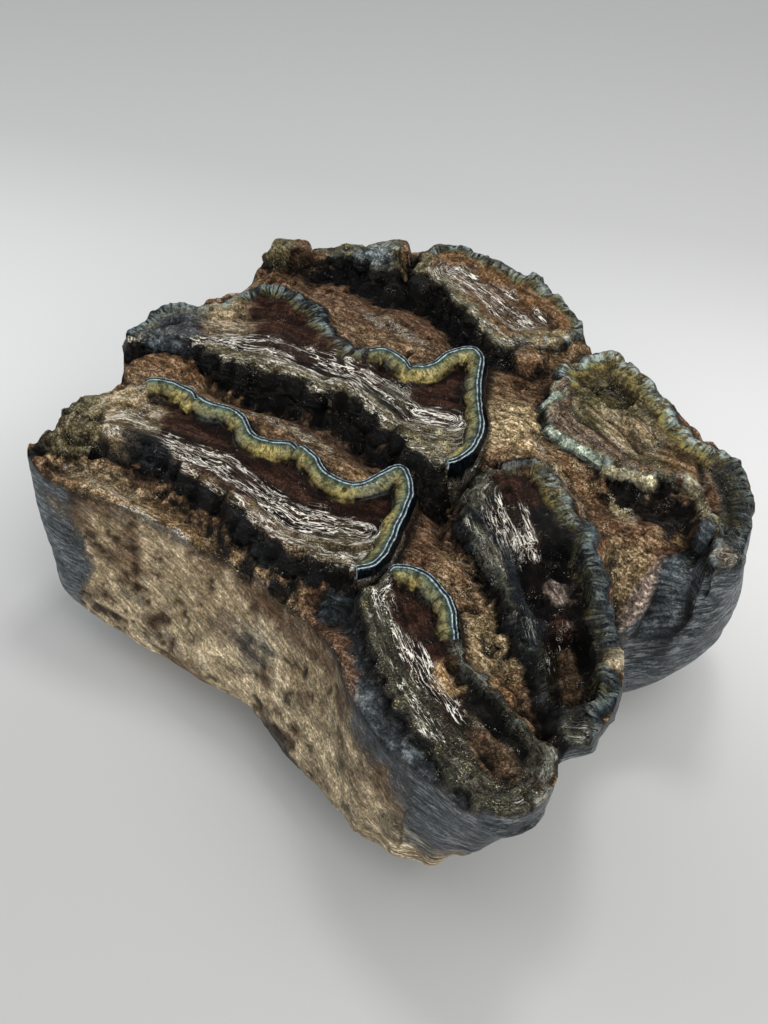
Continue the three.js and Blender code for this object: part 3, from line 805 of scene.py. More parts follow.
mesh = molar.data
spots = rows_of(mesh.vertices, "co")
normals = rows_of(mesh.vertex_normals, "vector")
count = len(spots)
found = crown_at(spots[:, :2])
inset, broken, side = found["inset"], found["broken"], found["side"]
skin_depth = found["height"] - spots[:, 2]
on_crown = 1 - smooth(0.15, 0.9, skin_depth)
spot_angle = np.arctan2(spots[:, 1], spots[:, 0])
bare = np.interp(spot_angle, wall_angles, wall_columns[:, 5], period=2 * math.pi)
blotches = grain(spots, 6, 31)
bare = smooth(0.3, 0.7, bare + 0.42 * blotches + 0.2 * grain(spots, 2.4, 32))


def tone(red, green, blue):
    """A paint-chart colour, each part from 0 to 255, as the light it throws back."""
    parts = np.array([red, green, blue]) / 255
    return np.where(parts <= 0.04045, parts / 12.92, ((parts + 0.055) / 1.055) ** 2.4)


def blurred(field, reach):
    """The mean of a grid of values within this many cells each way."""
    for axis in (0, 1):
        ends = [(reach + 1, reach) if k == axis else (0, 0) for k in (0, 1)]
        total = np.cumsum(np.pad(field, ends, "edge"), axis)
        wide = 2 * reach + 1
        count_here = field.shape[axis]
        high = np.take(total, range(wide, wide + count_here), axis)
        field = (high - np.take(total, range(count_here), axis)) / wide
    return field


def sampled(field, plan):
    """Values of a grid over the crown at places of the plan."""
    steps = np.clip((plan - crown_low) / (crown_high - crown_low) * cells, 0, cells - 1e-6)
    cell = steps.astype(int)
    part = steps - cell
    x, y = cell[:, 0], cell[:, 1]
    low_row = field[x, y] * (1 - part[:, 0]) + field[x + 1, y] * part[:, 0]
    high_row = field[x, y + 1] * (1 - part[:, 0]) + field[x + 1, y + 1] * part[:, 0]
    return low_row * (1 - part[:, 1]) + high_row * part[:, 1]


tones = {
    "tan": tone(142, 122, 90), "pale tan": tone(206, 186, 150), "brown": tone(84, 63, 44),
    "dark brown": tone(48, 32, 23), "red brown": tone(92, 64, 42), "earth": tone(120, 93, 64),
    "rust": tone(108, 78, 47), "sand": tone(152, 130, 92), "ochre": tone(140, 110, 70),
    "maroon": tone(50, 27, 16), "olive": tone(80, 72, 46), "cream": tone(190, 180, 142),
    "slate": tone(76, 83, 87), "blue black": tone(17, 21, 25), "black": tone(9, 7, 6),
    "pink grey": tone(140, 122, 110), "steel": tone(92, 104, 108), "moss": tone(84, 76, 44),
    "lichen": tone(50, 48, 36), "mint": tone(164, 178, 156),
    "wall tan": tone(176, 154, 118), "wall brown": tone(122, 98, 70),
}
tint = np.tile(tones["earth"], (count, 1))
streak, rods, scorched = np.zeros((3, count))  # stains of the cement leave what is scorched clear
fleck, wet = np.full(count, 0.3), np.full(count, 0.45)


def lay(share, colour, threads=None, flecks=None, gloss=None, columns=None):
    """Lays a tissue's colour, threads, flecks, gloss and enamel columns over a share of each point."""
    share = np.clip(share, 0, 1)
    tint[:] += (tones[colour] - tint) * share[:, None]
    for values, value in ((streak, threads), (fleck, flecks), (wet, gloss), (rods, columns)):
        if value is not None:
            values[:] += (value - values) * share


# Cement: sugary brown, with red and rusty patches.
ragged = grain(spots, 3, 36)
fray = 0.5 * grain(spots, 1.6, 37) + 0.5 * grain(spots, 0.8, 47)
loph_share = on_crown * smooth(-0.45, -0.1, inset)
lay(smooth(0.0, 0.6, grain(spots, 8, 33)), "red brown", flecks=0.2)
lay(0.7 * smooth(0.1, 0.7, grain(spots, 5, 34)), "rust", flecks=0.35)

# Each loph, in the order of the outlines, has its half width, how far the black at its foot reaches, the
# widths of its far and near rims, then the tissue of its far side, middle, near side, far rim and near rim:
# colour, threads, flecks, gloss, columns.
dressings = [
    (
        7, -0.3, 2.4, 1.6, ("maroon", 0.12, 0, 0.85, 0), ("dark brown", 1, 0.1, 0.75, 0),
        ("brown", 0.8, 0.8, 0.6, 0), ("olive", 0.1, 0.4, 0.5, 0.1), ("lichen", 0.7, 0.5, 0.7, 0),
    ),
    (
        5.5, 0.2, 1.8, 1.6, ("maroon", 0.12, 0, 0.85, 0), ("dark brown", 1, 0.2, 0.75, 0),
        ("lichen", 0.85, 0.35, 0.6, 0), ("lichen", 0.4, 0.3, 0.6, 0.2), ("lichen", 0.3, 0.5, 0.6, 0),
    ),
    (
        7, 0.9, 3.2, 1.6, ("maroon", 0.15, 0, 0.85, 0), ("dark brown", 1, 0.1, 0.75, 0),
        ("olive", 0.8, 0.6, 0.6, 0), ("blue black", 0.1, 0.1, 0.7, 0.5), ("lichen", 0.7, 0.7, 0.6, 0),
    ),
    (
        5, -0.6, 3.4, 1.8, ("black", 0.15, 0.1, 0.9, 0), ("dark brown", 1, 0.2, 0.8, 0),
        ("blue black", 0.4, 0.1, 0.8, 0), ("blue black", 0.3, 0.15, 0.7, 0.3),
        ("lichen", 0.6, 0.25, 0.8, 0.2),
    ),
    (
        7, 0.0, 4.4, 1.5, ("olive", 0.3, 0.4, 0.5, 0.1), ("moss", 0.3, 0.4, 0.5, 0),
        ("brown", 0.4, 0.5, 0.5, 0), ("olive", 0.1, 0.2, 0.7, 1), ("olive", 0.2, 0.6, 0.7, 0.6),
    ),
    (
        7, 2.8, 2.8, 2.6, ("rust", 0.2, 0.2, 0.5, 0), ("brown", 0.8, 0.3, 0.5, 0),
        ("earth", 0.35, 0.3, 0.45, 0), ("lichen", 0.1, 0.3, 0.6, 0.6), ("olive", 0.7, 0.6, 0.6, 0.1),
    ),
    (
        3, 4.6, 1.6, 1.6, ("olive", 0.1, 0.4, 0.5, 0), ("slate", 0.2, 0.3, 0.6, 0),
        ("lichen", 0.2, 0.4, 0.7, 0), ("olive", 0.2, 0.5, 0.5, 0.1), ("lichen", 0.3, 0.5, 0.7, 0.1),
    ),
]
far_share = smooth(-0.3, 0.3, side)
for number, dressing in enumerate(dressings):
    half, foot_reach, far_wide, near_wide, far, middle, near, far_rim, near_rim = dressing
    ours = found["loph"] == number
    # the black in the cement at its foot
    foot_share = ours * broken * (1 - loph_share) * (1 - far_share) * on_crown
    foot_share = foot_share * smooth(0.02, 0.15, found["scarp"])
    foot_reach = foot_reach + 0.3 - 2.6 * smooth(-26, -46, spots[:, 0])
    foot_share = foot_share * smooth(-foot_reach - 1.4, -foot_reach, inset + 2 * fray)
    lay(foot_share, "black", 0, 0.06, 0.7, 0)
    scorched = np.maximum(scorched, foot_share)
    # its far side, middle and near side
    here = ours * loph_share
    across = side / half + 0.2 * ragged + 0.1 * fray
    lay(here, *far)
    lay(here * smooth(0.42, 0.22, across), *middle)
    lay(here * smooth(-0.3, -0.5, across), *near)
    # its rims, and the black lip of the near one
    wide_here = near_wide + (far_wide - near_wide) * far_share
    edge_share = here * broken * smooth(0.6, -0.6, inset + 1.1 * fray + 0.6 * ragged - wide_here)
    lay(edge_share * far_share, *far_rim)
    lay(edge_share * (1 - far_share), *near_rim)
    lip = here * broken * (1 - smooth(0.2, 0.7, inset + 0.5 * fray))
    lay(0.85 * lip * (1 - far_share) * smooth(-0.5, 0.5, foot_reach), "black", 0.1, 0.3, 0.9, 0.1)
# The slopes where near sides fell away, and the steep faces under them, are black.
slope_share = smooth(0.22, 0.5, found["fallen"] + 0.2 * fray) * loph_share * (found["slope"] > 1)
lay(slope_share, "black", 0.03, 0.1, 0.9, 0)
lay(0.6 * slope_share * smooth(0, 0.5, grain(spots, 2.6, 51)), "blue black")
steep = on_crown * smooth(0.74, 0.5, normals[:, 2]) * smooth(-5, -3.5, inset) * smooth(2.4, 1.6, inset)
lay(steep * (1 - far_share) * broken, "black", 0.03, 0.06, 0.95, 0)
scorched = np.maximum(scorched, (1 - far_share) * broken * np.maximum(steep, slope_share))
scorched *= 1 - smooth(-39, -44, spots[:, 0]) * smooth(20, 26, spots[:, 1])

# The walls: fibrous cement with dark pits, enamel where it is bare, and a dark band under the crown's edge.
wall = 1 - on_crown
pits = smooth(0.30, 0.60, grain(spots, (2.0, 2.0, 1.1), 45) + 0.4 * grain(spots, (0.9, 0.9, 0.6), 48))
lay(wall, "wall tan", 0.5, 0.0, 0.2, 0)
lay(0.7 * wall * smooth(0, 0.6, blotches), "pale tan")
lay(0.75 * wall * smooth(22, 6, spots[:, 2] + 6 * blotches), "pale tan")
lay(0.9 * wall * smooth(0.05, 0.5, grain(spots, (4.5, 4.5, 3), 46)), "wall brown")
lay(0.9 * wall * pits, "dark brown", 0.1)
lay(0.6 * wall * smooth(29, 34, spots[:, 2] + 2 * ragged), "brown", gloss=0.4)
lay(wall * bare, "slate", 0.9, 0.0, 0.6, 0)
lay(0.7 * wall * bare * smooth(0.0, 0.5, grain(spots, (6, 6, 2.5), 38)), "blue black", 0.5)

# Smooth bare enamel at the top of two walls, with a red fringe.
sleek = found["sleek"] + 0.05 * fray
sleek_share = smooth(0.25, 0.45, sleek) * (1 - loph_share) * on_crown
lay(smooth(0.08, 0.25, sleek) * (1 - loph_share) * on_crown, "red brown", 0, 0.2, 0.4, 0)
lay(sleek_share, "slate", 0.08, 0, 0.6, 0)
lay(0.65 * sleek_share * smooth(-0.6, 0.4, grain(spots, 4, 50)), "blue black")

# Stains and odd patches. Each has its place, reach, turn, what it lies on, the tissue it shows as colour,
# threads, flecks, gloss and columns, and its share.
stains = [
    # valleys
    ((-43, -7, 37), (7, 4, 6), 0, "cement", ("rust", 0, 0.3, 0.4), 0.8),
    ((-10, -4.5, 36), (11, 3.4, 4), -8, "cement", ("dark brown", 0, 0.3, 0.5), 0.6),
    ((-26, 26, 37), (22, 7, 6), 8, "cement", ("red brown", 0, 0.25, 0.4), 0.9),
    ((10.5, 13.5, 38), (8, 6, 5), 10, "cement", ("sand", 0, 0.3, 0.35), 1),
    ((6, 24, 38), (5, 5, 5), 0, "cement", ("red brown", 0.1, 0.3, 0.5), 0.8),
    ((9.5, -4, 36), (3.5, 8, 5), 0, "cement", ("red brown", 0, 0.25, 0.6), 0.9),
    ((20, -16.5, 36), (8, 4.5, 5), -25, "cement", ("earth", 0, 0.7, 0.5), 0.9),
    ((14.5, -17, 36), (2.6, 5, 5), 0, "cement", ("red brown", 0, 0.3, 0.5), 0.8),
    ((31, -23, 36), (8, 4, 5), -35, "cement", ("sand", 0, 0.5, 0.45), 0.9),
    ((38, -27, 36), (5, 3, 5), -35, "cement", ("rust", 0, 0.4, 0.5), 0.9),
    ((40.5, -26.5, 34), (2.2, 2, 6), -40, "cement", ("pink grey", 0, 0, 0.3), 0.95),
    ((22, 11, 37), (8, 3, 4), -12, "cement", ("rust", 0.3, 0.6, 0.5), 0.8),
    ((32, 9, 34), (6, 5, 7), 0, "cement", ("red brown", 0.1, 0.3, 0.5), 0.85),
    ((30.5, 11.5, 34), (4.5, 1.6, 5), -30, "cement", ("earth", 1, 1.4, 0.5), 0.9),
    ((22, 8.5, 38), (14, 1.2, 5), -28, "cement", ("earth", 0.7, 0.9, 0.5), 0.8),
    ((-18, -6.2, 37), (10, 1.6, 5), 3, "cement", ("brown", 0.75, 0.9, 0.5), 0.9),
    ((-1, -8, 36), (4, 2.6, 5), 10, "cement", ("ochre", 0, 0.5, 0.5), 0.8),
    ((-20, 22, 38), (9, 1.6, 5), -4, "cement", ("brown", 0.75, 0.9, 0.5), 0.9),
    ((36, 3, 30), (5, 5, 8), 0, "all", ("sand", 0.2, 0.3, 0.4), 0.7),
    ((46.6, 4, 25), (6.6, 12, 20), -6, "all", ("slate", 0.3, 0, 0.6, 0), 0.97),
    ((43.4, 4, 27), (2.6, 9, 7), -6, "all", ("blue black", 0.1, 0, 0.6, 0), 0.6),
    ((39.6, 2, 29.5), (1.3, 6.5, 7), -4, "all", ("pink grey", 0.1, 0, 0.3, 0), 0.97),
    ((-47, 15, 36), (4, 6, 5), 0, "cement", ("ochre", 0, 0.3, 0.4), 0.7),
    ((-44.5, 27.5, 36), (6, 5, 7), 15, "all", ("red brown", 0, 0.3, 0.4), 0.95),
    ((-46.5, 25.5, 39), (3.5, 4, 4), 20, "all", ("moss", 0.1, 0.6, 0.5), 0.9),
    ((3, 40, 36), (5, 5, 6), 30, "cement", ("red brown", 0, 0.3, 0.5), 0.9),
    # the shelf along the front, and its edge
    ((-17, -31, 33), (20, 3, 6), 0, "cement", ("ochre", 0, 0.6, 0.5), 0.85),
    ((-34, -31, 33), (8, 4, 6), 0, "cement", ("tan", 0.1, 0.6, 0.4), 0.7),
    ((-14, -31.6, 34.3), (28, 1.3, 1.6), 0, "all", ("earth", 1.6, 0.9, 0.5), 0.85),
    ((0, -33, 30.4), (17, 4, 2.8), 0, "wall", ("red brown", 0.2, 0.2, 0.5), 0.75),
    ((14, -37, 34), (10, 4, 7), -35, "cement", ("red brown", 0, 0.3, 0.5), 0.9),
    # front left loph
    ((-38, -20, 38), (6, 7, 5), 10, "loph", ("tan", 0.7, 0.5, 0.4), 0.8),
    ((-43, -27, 38), (5, 6, 5), 0, "loph", ("olive", 0.2, 0.6, 0.4), 0.8),
    ((-31, -23.5, 38), (6, 2.5, 5), -5, "loph", ("blue black", 0.1, 0.1, 0.9), 0.9),
    ((4, -22, 38), (5, 4, 5), 10, "loph", ("olive", 0.8, 0.4, 0.5, 0), 0.7),
    # front right loph, and the bare enamel of its near wall
    ((25, -41.5, 35), (7, 2.8, 7), -32, "wall", ("slate", 0.2, 0, 0.5, 0), 0.95),
    ((34, -44.5, 34), (7, 3, 9), -20, "wall", ("slate", 0.4, 0, 0.5, 0), 0.9),
    ((42, -39, 38), (9, 7, 5), -20, "loph", ("lichen", 0.3, 0.35, 0.8, 0), 0.95),
    ((20.5, -26.3, 38), (6, 2.6, 5), -35, "loph", ("maroon", 0.2, 0, 0.85), 0.9),
    ((36.5, -32.8, 38), (9.5, 1.9, 5), -22, "loph", ("black", 0.1, 0.1, 0.9, 0), 0.95),
    ((41.5, -38, 38), (5.5, 2.2, 5), -20, "loph", ("brown", 0.1, 0.25, 0.5, 0), 0.9),
    ((30.5, -32, 38), (3, 2.2, 5), -30, "loph", ("ochre", 0.4, 0.4, 0.7, 0), 0.85),
    # middle left loph
    ((-43, 7, 38), (6, 5, 5), 10, "loph", ("tan", 0.6, 0.3, 0.3), 0.7),
    ((-47, -1, 38), (4.5, 7, 5), 0, "loph", ("slate", 0.3, 0.2, 0.5), 0.8),
    ((-25, 11.5, 38), (6, 2.4, 5), 5, "loph", ("maroon", 0.1, 0.0, 0.85), 0.9),
    ((-9, 8, 38), (3.5, 5, 5), 10, "loph", ("lichen", 0.7, 0.5, 0.5), 0.8),
    ((3, 3.5, 38), (5, 4, 5), 0, "loph", ("olive", 0.4, 1, 0.6), 0.8),
    # middle right loph
    ((13.5, -2, 38), (3.4, 6, 5), 10, "loph", ("lichen", 0.45, 0.4, 0.6), 0.8),
    ((21, -4, 38), (6, 3, 5), -38, "loph", ("dark brown", 1, 0.4, 0.7), 0.9),
    ((22, 5.5, 39), (8, 2.4, 5), -35, "loph", ("olive", 0.2, 0.4, 0.6, 0.7), 0.8),
    ((17, 3.5, 38), (5, 3.4, 4), -35, "loph", ("maroon", 0.1, 0, 0.9), 0.95),
    ((33, 0.5, 34), (9, 2.2, 6), -42, "loph", ("steel", 0.3, 0.15, 0.7, 0.4), 0.6),
    ((22, -11, 37), (8, 1.4, 5), -38, "loph", ("lichen", 0.5, 0.3, 0.7, 0.1), 0.85),
    ((32, -11, 35), (8.5, 4.6, 7), -45, "loph", ("black", 0.1, 0.15, 0.9, 0), 0.95),
    ((42, -23, 36), (9, 4.2, 7), -50, "loph", ("black", 0.1, 0.25, 0.9, 0.1), 0.9),
    ((36.5, -14, 35), (3, 2, 5), -45, "loph", ("maroon", 0.3, 0.1, 0.8, 0), 0.85),
    ((41.5, -20, 35), (6, 1.5, 6), -52, "loph", ("brown", 0.2, 0.1, 0.6, 0), 0.8),
    ((46.5, -16.5, 37), (2.4, 2.4, 5), -40, "loph", ("sand", 0.1, 0.2, 0.6, 0.5), 0.8),
    ((32.6, -8.6, 36.5), (2.9, 2.5, 2), -60, "loph", ("pink grey", 0.1, 0, 0.5, 0), 0.75),
    # right loph
    ((24, 23.5, 38), (7.5, 3.4, 4), -16, "loph", ("tan", 0.5, 0.05, 0.4, 0), 0.9),
    ((18, 30, 38), (5, 4, 4), -12, "loph", ("moss", 0.3, 0.6, 0.5), 0.7),
    ((35, 21, 38), (5, 3, 4), -20, "loph", ("rust", 0.3, 0.2, 0.4), 0.8),
    ((43.8, 18.6, 38), (3.8, 11.5, 9), 33, "loph", ("blue black", 0.3, 0.2, 0.8, 0.15), 0.97),
    ((40.4, 18.4, 38), (0.9, 7.5, 5), 41, "loph", ("red brown", 0.3, 0.5, 0.5, 0), 0.9),
    ((10.6, 20, 39), (1.0, 5, 4), -15, "loph", ("mint", 0.3, 0, 0.6, 0.5), 0.75),
    ((18, 15.2, 39), (7.5, 0.8, 4), -8, "loph", ("mint", 0.3, 0, 0.6, 0.4), 0.75),
    ((30, 14.9, 39), (7.5, 0.8, 4), 14, "loph", ("cream", 0.3, 0, 0.6, 0.1), 0.65),
    ((40.5, 15.4, 38.5), (5, 0.9, 4), -40, "loph", ("cream", 0.2, 0, 0.6, 0), 0.7),
    ((43.5, 9, 37), (2, 3.4, 4), 0, "all", ("lichen", 0.1, 0.6, 0.7, 0), 0.9),
    ((36.5, 13.4, 35), (6.5, 3.4, 4.5), -12, "all", ("blue black", 0.3, 0.15, 0.8, 0), 0.92),
    ((40.6, 12.0, 36), (1.6, 3.4, 4), 10, "all", ("ochre", 0.2, 0.2, 0.6, 0), 0.7),
    ((43.8, 12.4, 39), (1.9, 1.9, 2), 0, "all", ("moss", 0.1, 0.8, 0.7), 0.95),
    # lumps
    ((-22.6, 33.4, 37), (2.1, 1.9, 3), 0, "all", ("moss", 0.1, 0.5, 0.8), 0.9),
    ((2, 34, 39), (3.4, 3.4, 4), 30, "loph", ("sand", 0, 0.4, 0.6, 0.7), 0.8),
    ((-32.5, 34.5, 39), (4.6, 2.4, 3), 35, "all", ("steel", 0.2, 0.3, 0.5, 0), 0.7),
    ((1.5, 28.6, 37), (4.6, 2.8, 3), -35, "all", ("lichen", 0.3, 0.7, 0.7), 0.9),
    # front wall
    ((-4, -32, 21), (5, 5, 6), 0, "wall", ("slate", 0.2, 0, 0.3), 0.45),
    ((33, -38, 11), (9, 10, 10), 0, "wall", ("wall tan", 0.4, 0, 0.3), 0.95),
    ((22, -40, 14), (16, 8, 13), -35, "wall", ("pale tan", 0.3, 0, 0.3), 0.5),
    # painted light: a lighter steel patch on the left corner of the wall, where light catches its edge
    ((-46, -33, 18), (8, 7, 18), 0, "wall", ("steel", 0.5, 0, 0.5), 0.85),
    ((12, -33, 2.5), (24, 12, 4), 0, "wall", ("blue black", 0.3, 0, 0.5), 0.8),
    ((5, -37, 6), (8, 6, 6), -30, "wall", ("blue black", 0.4, 0, 0.5), 0.9),
    ((26, -43, 27), (6, 5, 4), 0, "wall", ("brown", 0, 0, 0.4), 0.5),
    ((20, -40, 20), (3, 3, 2.2), 0, "wall", ("blue black", 0.2, 0, 0.5), 0.55),
    ((24, -41, 14), (4, 3, 2), 0, "wall", ("blue black", 0.2, 0, 0.5), 0.6),
    ((31, -44, 18), (3, 5, 3.4), 0, "wall", ("blue black", 0.2, 0, 0.5), 0.6),
]
for at, reach, turn, on, tissue, share in stains:
    off = spots - np.asarray(at, float)
    across, along = turned(off, turn, reach)
    away = np.sqrt(across**2 + along**2 + (off[:, 2] / reach[2]) ** 2)
    covered = {"cement": (1 - loph_share) * on_crown, "loph": loph_share, "wall": wall, "all": 1}[on]
    if on in ("cement", "all"):
        covered = covered * (1 - scorched)
    away = away + 0.3 * wall * grain(spots, 5, 53)
    lay(share * smooth(1.15, 0.65, away + 0.25 * grain(spots, 2.2, 39) + 0.15 * fray) * covered, *tissue)

# Painted shade darkens the hollows of the crown, and painted light brightens its high places.
close = sampled(worn_heights - blurred(worn_heights, 3), spots[:, :2])
wide = sampled(worn_heights - blurred(blurred(worn_heights, 7), 7), spots[:, :2])
darkest, brightest = 0.12, 1.7
hollow_shade_and_ridge_light = 1 + 0.8 * np.clip(close / 0.5, -1, 0.6) + (0.1 + 0.25 * loph_share) * np.clip(wide / 2.4, -1, 0.4)
tint *= (1 + (np.clip(hollow_shade_and_ridge_light, darkest, brightest) - 1) * on_crown)[:, None]

# The grain of each tissue runs its own way: round the walls in bare enamel, slanting down them in cement,
# and along the lophs in dentine.
flow = spots * (0.6, 1.5, 1.0)
along_loph, across_loph = found["along"] * 0.115, found["side"] * 0.95
threads = np.column_stack([along_loph, across_loph, 7.0 * found["loph"] + 0.8 * spots[:, 2]])
flow += (threads - flow) * (loph_share > 0.5)[:, None]
round_wall = spots * (0.42, 0.42, 2.1)
flow += (round_wall - flow) * (((wall > 0.5) & (bare > 0.5)) | (sleek_share > 0.5))[:, None]
slant = np.array([0.90, 0.0, -0.436])  # the way the cement's fibres run down the walls
down_face = (spots - (spots @ slant)[:, None] * slant * 0.82) * 1.9
flow += (down_face - flow) * ((wall > 0.5) & (bare <= 0.5))[:, None]

# The walls are weathered: wrinkled enamel, and pitted, fibrous cement.
rest_share = smooth(0.4, 11, spots[:, 2])
wrinkles = 0.16 * grain(flow, 2.2, 41) + 0.14 * grain(flow, 4.2, 49) + 0.14 * grain(spots, 5, 42)
pitted = 0.14 * grain(flow, 1.6, 43) + 0.2 * grain(flow, 3.6, 52) + 0.3 * grain(spots, 6, 44) - 0.3 * pits
relief = wall * rest_share * (bare * wrinkles + (1 - bare) * pitted)
spots += normals * relief[:, None]

# The mesh keeps what the finish reads, and takes its place in the middle, in metres.
metres = 0.001
sharp_turn = math.radians(42)
opaque_tint = np.column_stack([tint, np.ones(count)]).astype(np.float32).ravel()
mesh.attributes.new("tint", "FLOAT_COLOR", "POINT").data.foreach_set("color", opaque_tint)
for name, columns in (
    ("flow", (flow[:, 0], flow[:, 1], flow[:, 2])),
    ("rim", (lobed(inset, found["around"]), found["around"], broken)),
    ("looks", (streak, fleck, wet)),
    ("parts", (on_crown, rods, wall * bare)),
):
    values = np.column_stack(columns).astype(np.float32).ravel()
    mesh.attributes.new(name, "FLOAT_VECTOR", "POINT").data.foreach_set("vector", values)
spots[:, :2] += centre_shift
mesh.vertices.foreach_set("co", (spots * metres).astype(np.float32).ravel())
mesh.update()
mesh.polygons.foreach_set("use_smooth", np.ones(len(mesh.polygons), bool))
mesh.set_sharp_from_angle(angle=sharp_turn)

# The finish of all the tissues: a thin varnish over threads, flecks and grain, and the fine lines of the
# polished enamel, drawn by how far in from its edge a point lies.
finish = bpy.data.materials.new("fossil_tissue")
finish.use_nodes = True
tree = finish.node_tree
shader = tree.nodes["Principled BSDF"]


def wire(kind, sockets, **settings):
    """Adds a node to the finish; sockets gives each input a value, or another node's output."""
    made = tree.nodes.new("ShaderNode" + kind)
    for name, value in settings.items():
        setattr(made, name, value)
    for name, value in sockets.items():
        if isinstance(value, bpy.types.NodeSocket):
            tree.links.new(value, made.inputs[name])
        else:
            made.inputs[name].default_value = value
    return made


def work(operation, first, second=0.0, third=0.0):
    """A sum on one, two or three values."""
    return wire("Math", {0: first, 1: second, 2: third}, operation=operation).outputs[0]


def times(first, *others):
    """Values multiplied together."""
    for other in others:
        first = work("MULTIPLY", first, other)
    return first


def swing(value, reach, about):
    """What lies about, pushed up or down as a random value goes over or under its middle."""
    return work("MULTIPLY_ADD", work("SUBTRACT", value, 0.5), reach, about)


def ease(value, low, high, first=0.0, last=1.0):
    """Goes from first to last as the value goes from low to high."""
    sockets = {"Value": value, "From Min": low, "From Max": high, "To Min": first, "To Max": last}
    return wire("MapRange", sockets, interpolation_type="SMOOTHSTEP").outputs["Result"]


def between(share, first, last):
    """Goes from first to last as a share goes from 0 to 1."""
    return ease(share, 0.0, 1.0, first, last)


def scaled(vector, share):
    """A colour or a place with all its parts made so many times as large."""
    return wire("VectorMath", {0: vector, "Scale": share}, operation="SCALE").outputs[0]


def over(share, under, upper):
    """One colour laid over another."""
    return wire("Mix", {0: share, 6: under, 7: upper}, data_type="RGBA").outputs[2]


def either(share, under, upper):
    """One value, or another where the share says so."""
    return wire("Mix", {0: share, 2: under, 3: upper}, data_type="FLOAT").outputs[0]


def speckle(place, scale, detail=3.0, roughness=0.55, distortion=0.0):
    """Random values from 0 to 1 with lumps of this many to the millimetre."""
    return wire("TexNoise", {
        "Vector": place, "Scale": scale, "Detail": detail, "Roughness": roughness, "Distortion": distortion,
    }).outputs[0]


def stripes(value, stops):
    """A colour for each value from 0 to 1, from stops of (value, colour)."""
    ramp = wire("ValToRGB", {0: value})
    while len(ramp.color_ramp.elements) < len(stops):
        ramp.color_ramp.elements.new(0.5)
    for element, (position, colour) in zip(ramp.color_ramp.elements, stops):
        element.position = position
        element.color = (*colour, 1)
    return ramp.outputs[0]


def split(name):
    """The three values kept in an attribute of the mesh."""
    source = wire("Attribute", {}, attribute_name=name).outputs["Vector"]
    parts = wire("SeparateXYZ", {0: source})
    return parts.outputs[0], parts.outputs[1], parts.outputs[2]


place = scaled(wire("TexCoord", {}).outputs["Object"], 1000.0)
thread_place = wire("Attribute", {}, attribute_name="flow").outputs["Vector"]
base_tint = wire("Attribute", {}, attribute_name="tint").outputs["Color"]
rim_inset, rim_around, rim_broken = split("rim")
some_threads, some_flecks, some_wet = split("looks")
crown_share, some_columns, wall_bare = split("parts")

broad = speckle(place, 0.21, 3.0)
middling = speckle(place, 0.7, 3.0)
fine = speckle(place, 2.4, 4.0, 0.65)
sugar = speckle(place, 4.0, 3.0, 0.6)
thread = speckle(thread_place, 1.0, 5.0, 0.62, 0.4)
hair = speckle(thread_place, 2.1, 4.0, 0.6, 0.5)

# The ground: the tissue's own tint, made so many stops lighter or darker by its grain, and paler where it
# is lightest. The same threads and fine grain raise the bump, so the colour is partly real grain and partly
# painted shade in the low places of the relief and painted light on its high ones; the paler shift is a
# painted highlight.
stops = swing(thread, between(wall_bare, between(crown_share, 7.0, 9.0), 20.0), -0.35)
stops = swing(fine, ease(some_flecks, 0.0, 0.35, 7.0, 9.0), stops)
stops = swing(sugar, ease(some_flecks, 0.0, 0.35, 3.0, 6.5), stops)
stops = swing(middling, 4.0, stops)
stops = swing(broad, between(crown_share, 4.5, 1.0), stops)
stops = times(stops, between(crown_share, 0.75, 1.0))
grain_and_relief_light = work("MINIMUM", work("POWER", 2.0, stops), 3.0)
body = scaled(base_tint, grain_and_relief_light)
painted_highlight_tint = scaled((1.12, 1.05, 0.9), wire("RGBToBW", {0: body}).outputs[0])
body = over(ease(grain_and_relief_light, 0.9, 2.8, 0.0, 0.5), body, painted_highlight_tint)


def veins(value, reach):
    """Fine lines where a random value passes its middle."""
    return ease(work("ABSOLUTE", work("SUBTRACT", value, 0.5)), reach, 0.2 * reach)


# Silver threads in the dentine, partly pale fibre and partly painted glints on the ridged varnish, and gold
# flecks and pale glints in clumps; the pale glints are painted highlights.
ribbon = veins(speckle(thread_place, 1.2, 2.0, 0.5, 0.6), 0.032)
strand = veins(speckle(thread_place, 2.6, 2.0, 0.5, 0.6), 0.046)
clusters = speckle(thread_place, 0.6, 2.0)
silver_glint_share = times(
    work("MAXIMUM", ribbon, times(strand, 0.85)), ease(hair, 0.36, 0.50, 0.4, 1.0),
    ease(clusters, 0.40, 0.52, 0.2, 1.0), some_threads,
)
silver_glint_share = times(ease(silver_glint_share, 0.2, 0.7), between(crown_share, 0.7, 1.0))
# silver threads are near white on the crown; on the walls they are grey, a painted sheen on the wrinkles
silver_glint = over(crown_share, (*tone(150, 158, 164), 1), (*tone(252, 246, 232), 1))
body = over(silver_glint_share, body, silver_glint)
clump = swing(speckle(place, 0.45, 2.0), 3.0, some_flecks)
gold_from, gold_to = work("MULTIPLY_ADD", clump, -0.22, 0.76), work("MULTIPLY_ADD", clump, -0.20, 0.84)
gold_share = times(ease(sugar, gold_from, gold_to), ease(some_flecks, 0.08, 0.3))
gold = over(ease(middling, 0.42, 0.58), (*tone(150, 132, 76), 1), (*tone(208, 197, 158), 1))
body = over(gold_share, body, gold)
# painted glints: pale highlight specks laid into the colour in clumps
painted_glint_share = times(ease(speckle(place, 5.5, 2.0), 0.64, 0.72), ease(clump, 0.2, 0.7))
body = over(painted_glint_share, body, (*tone(232, 226, 208), 1))

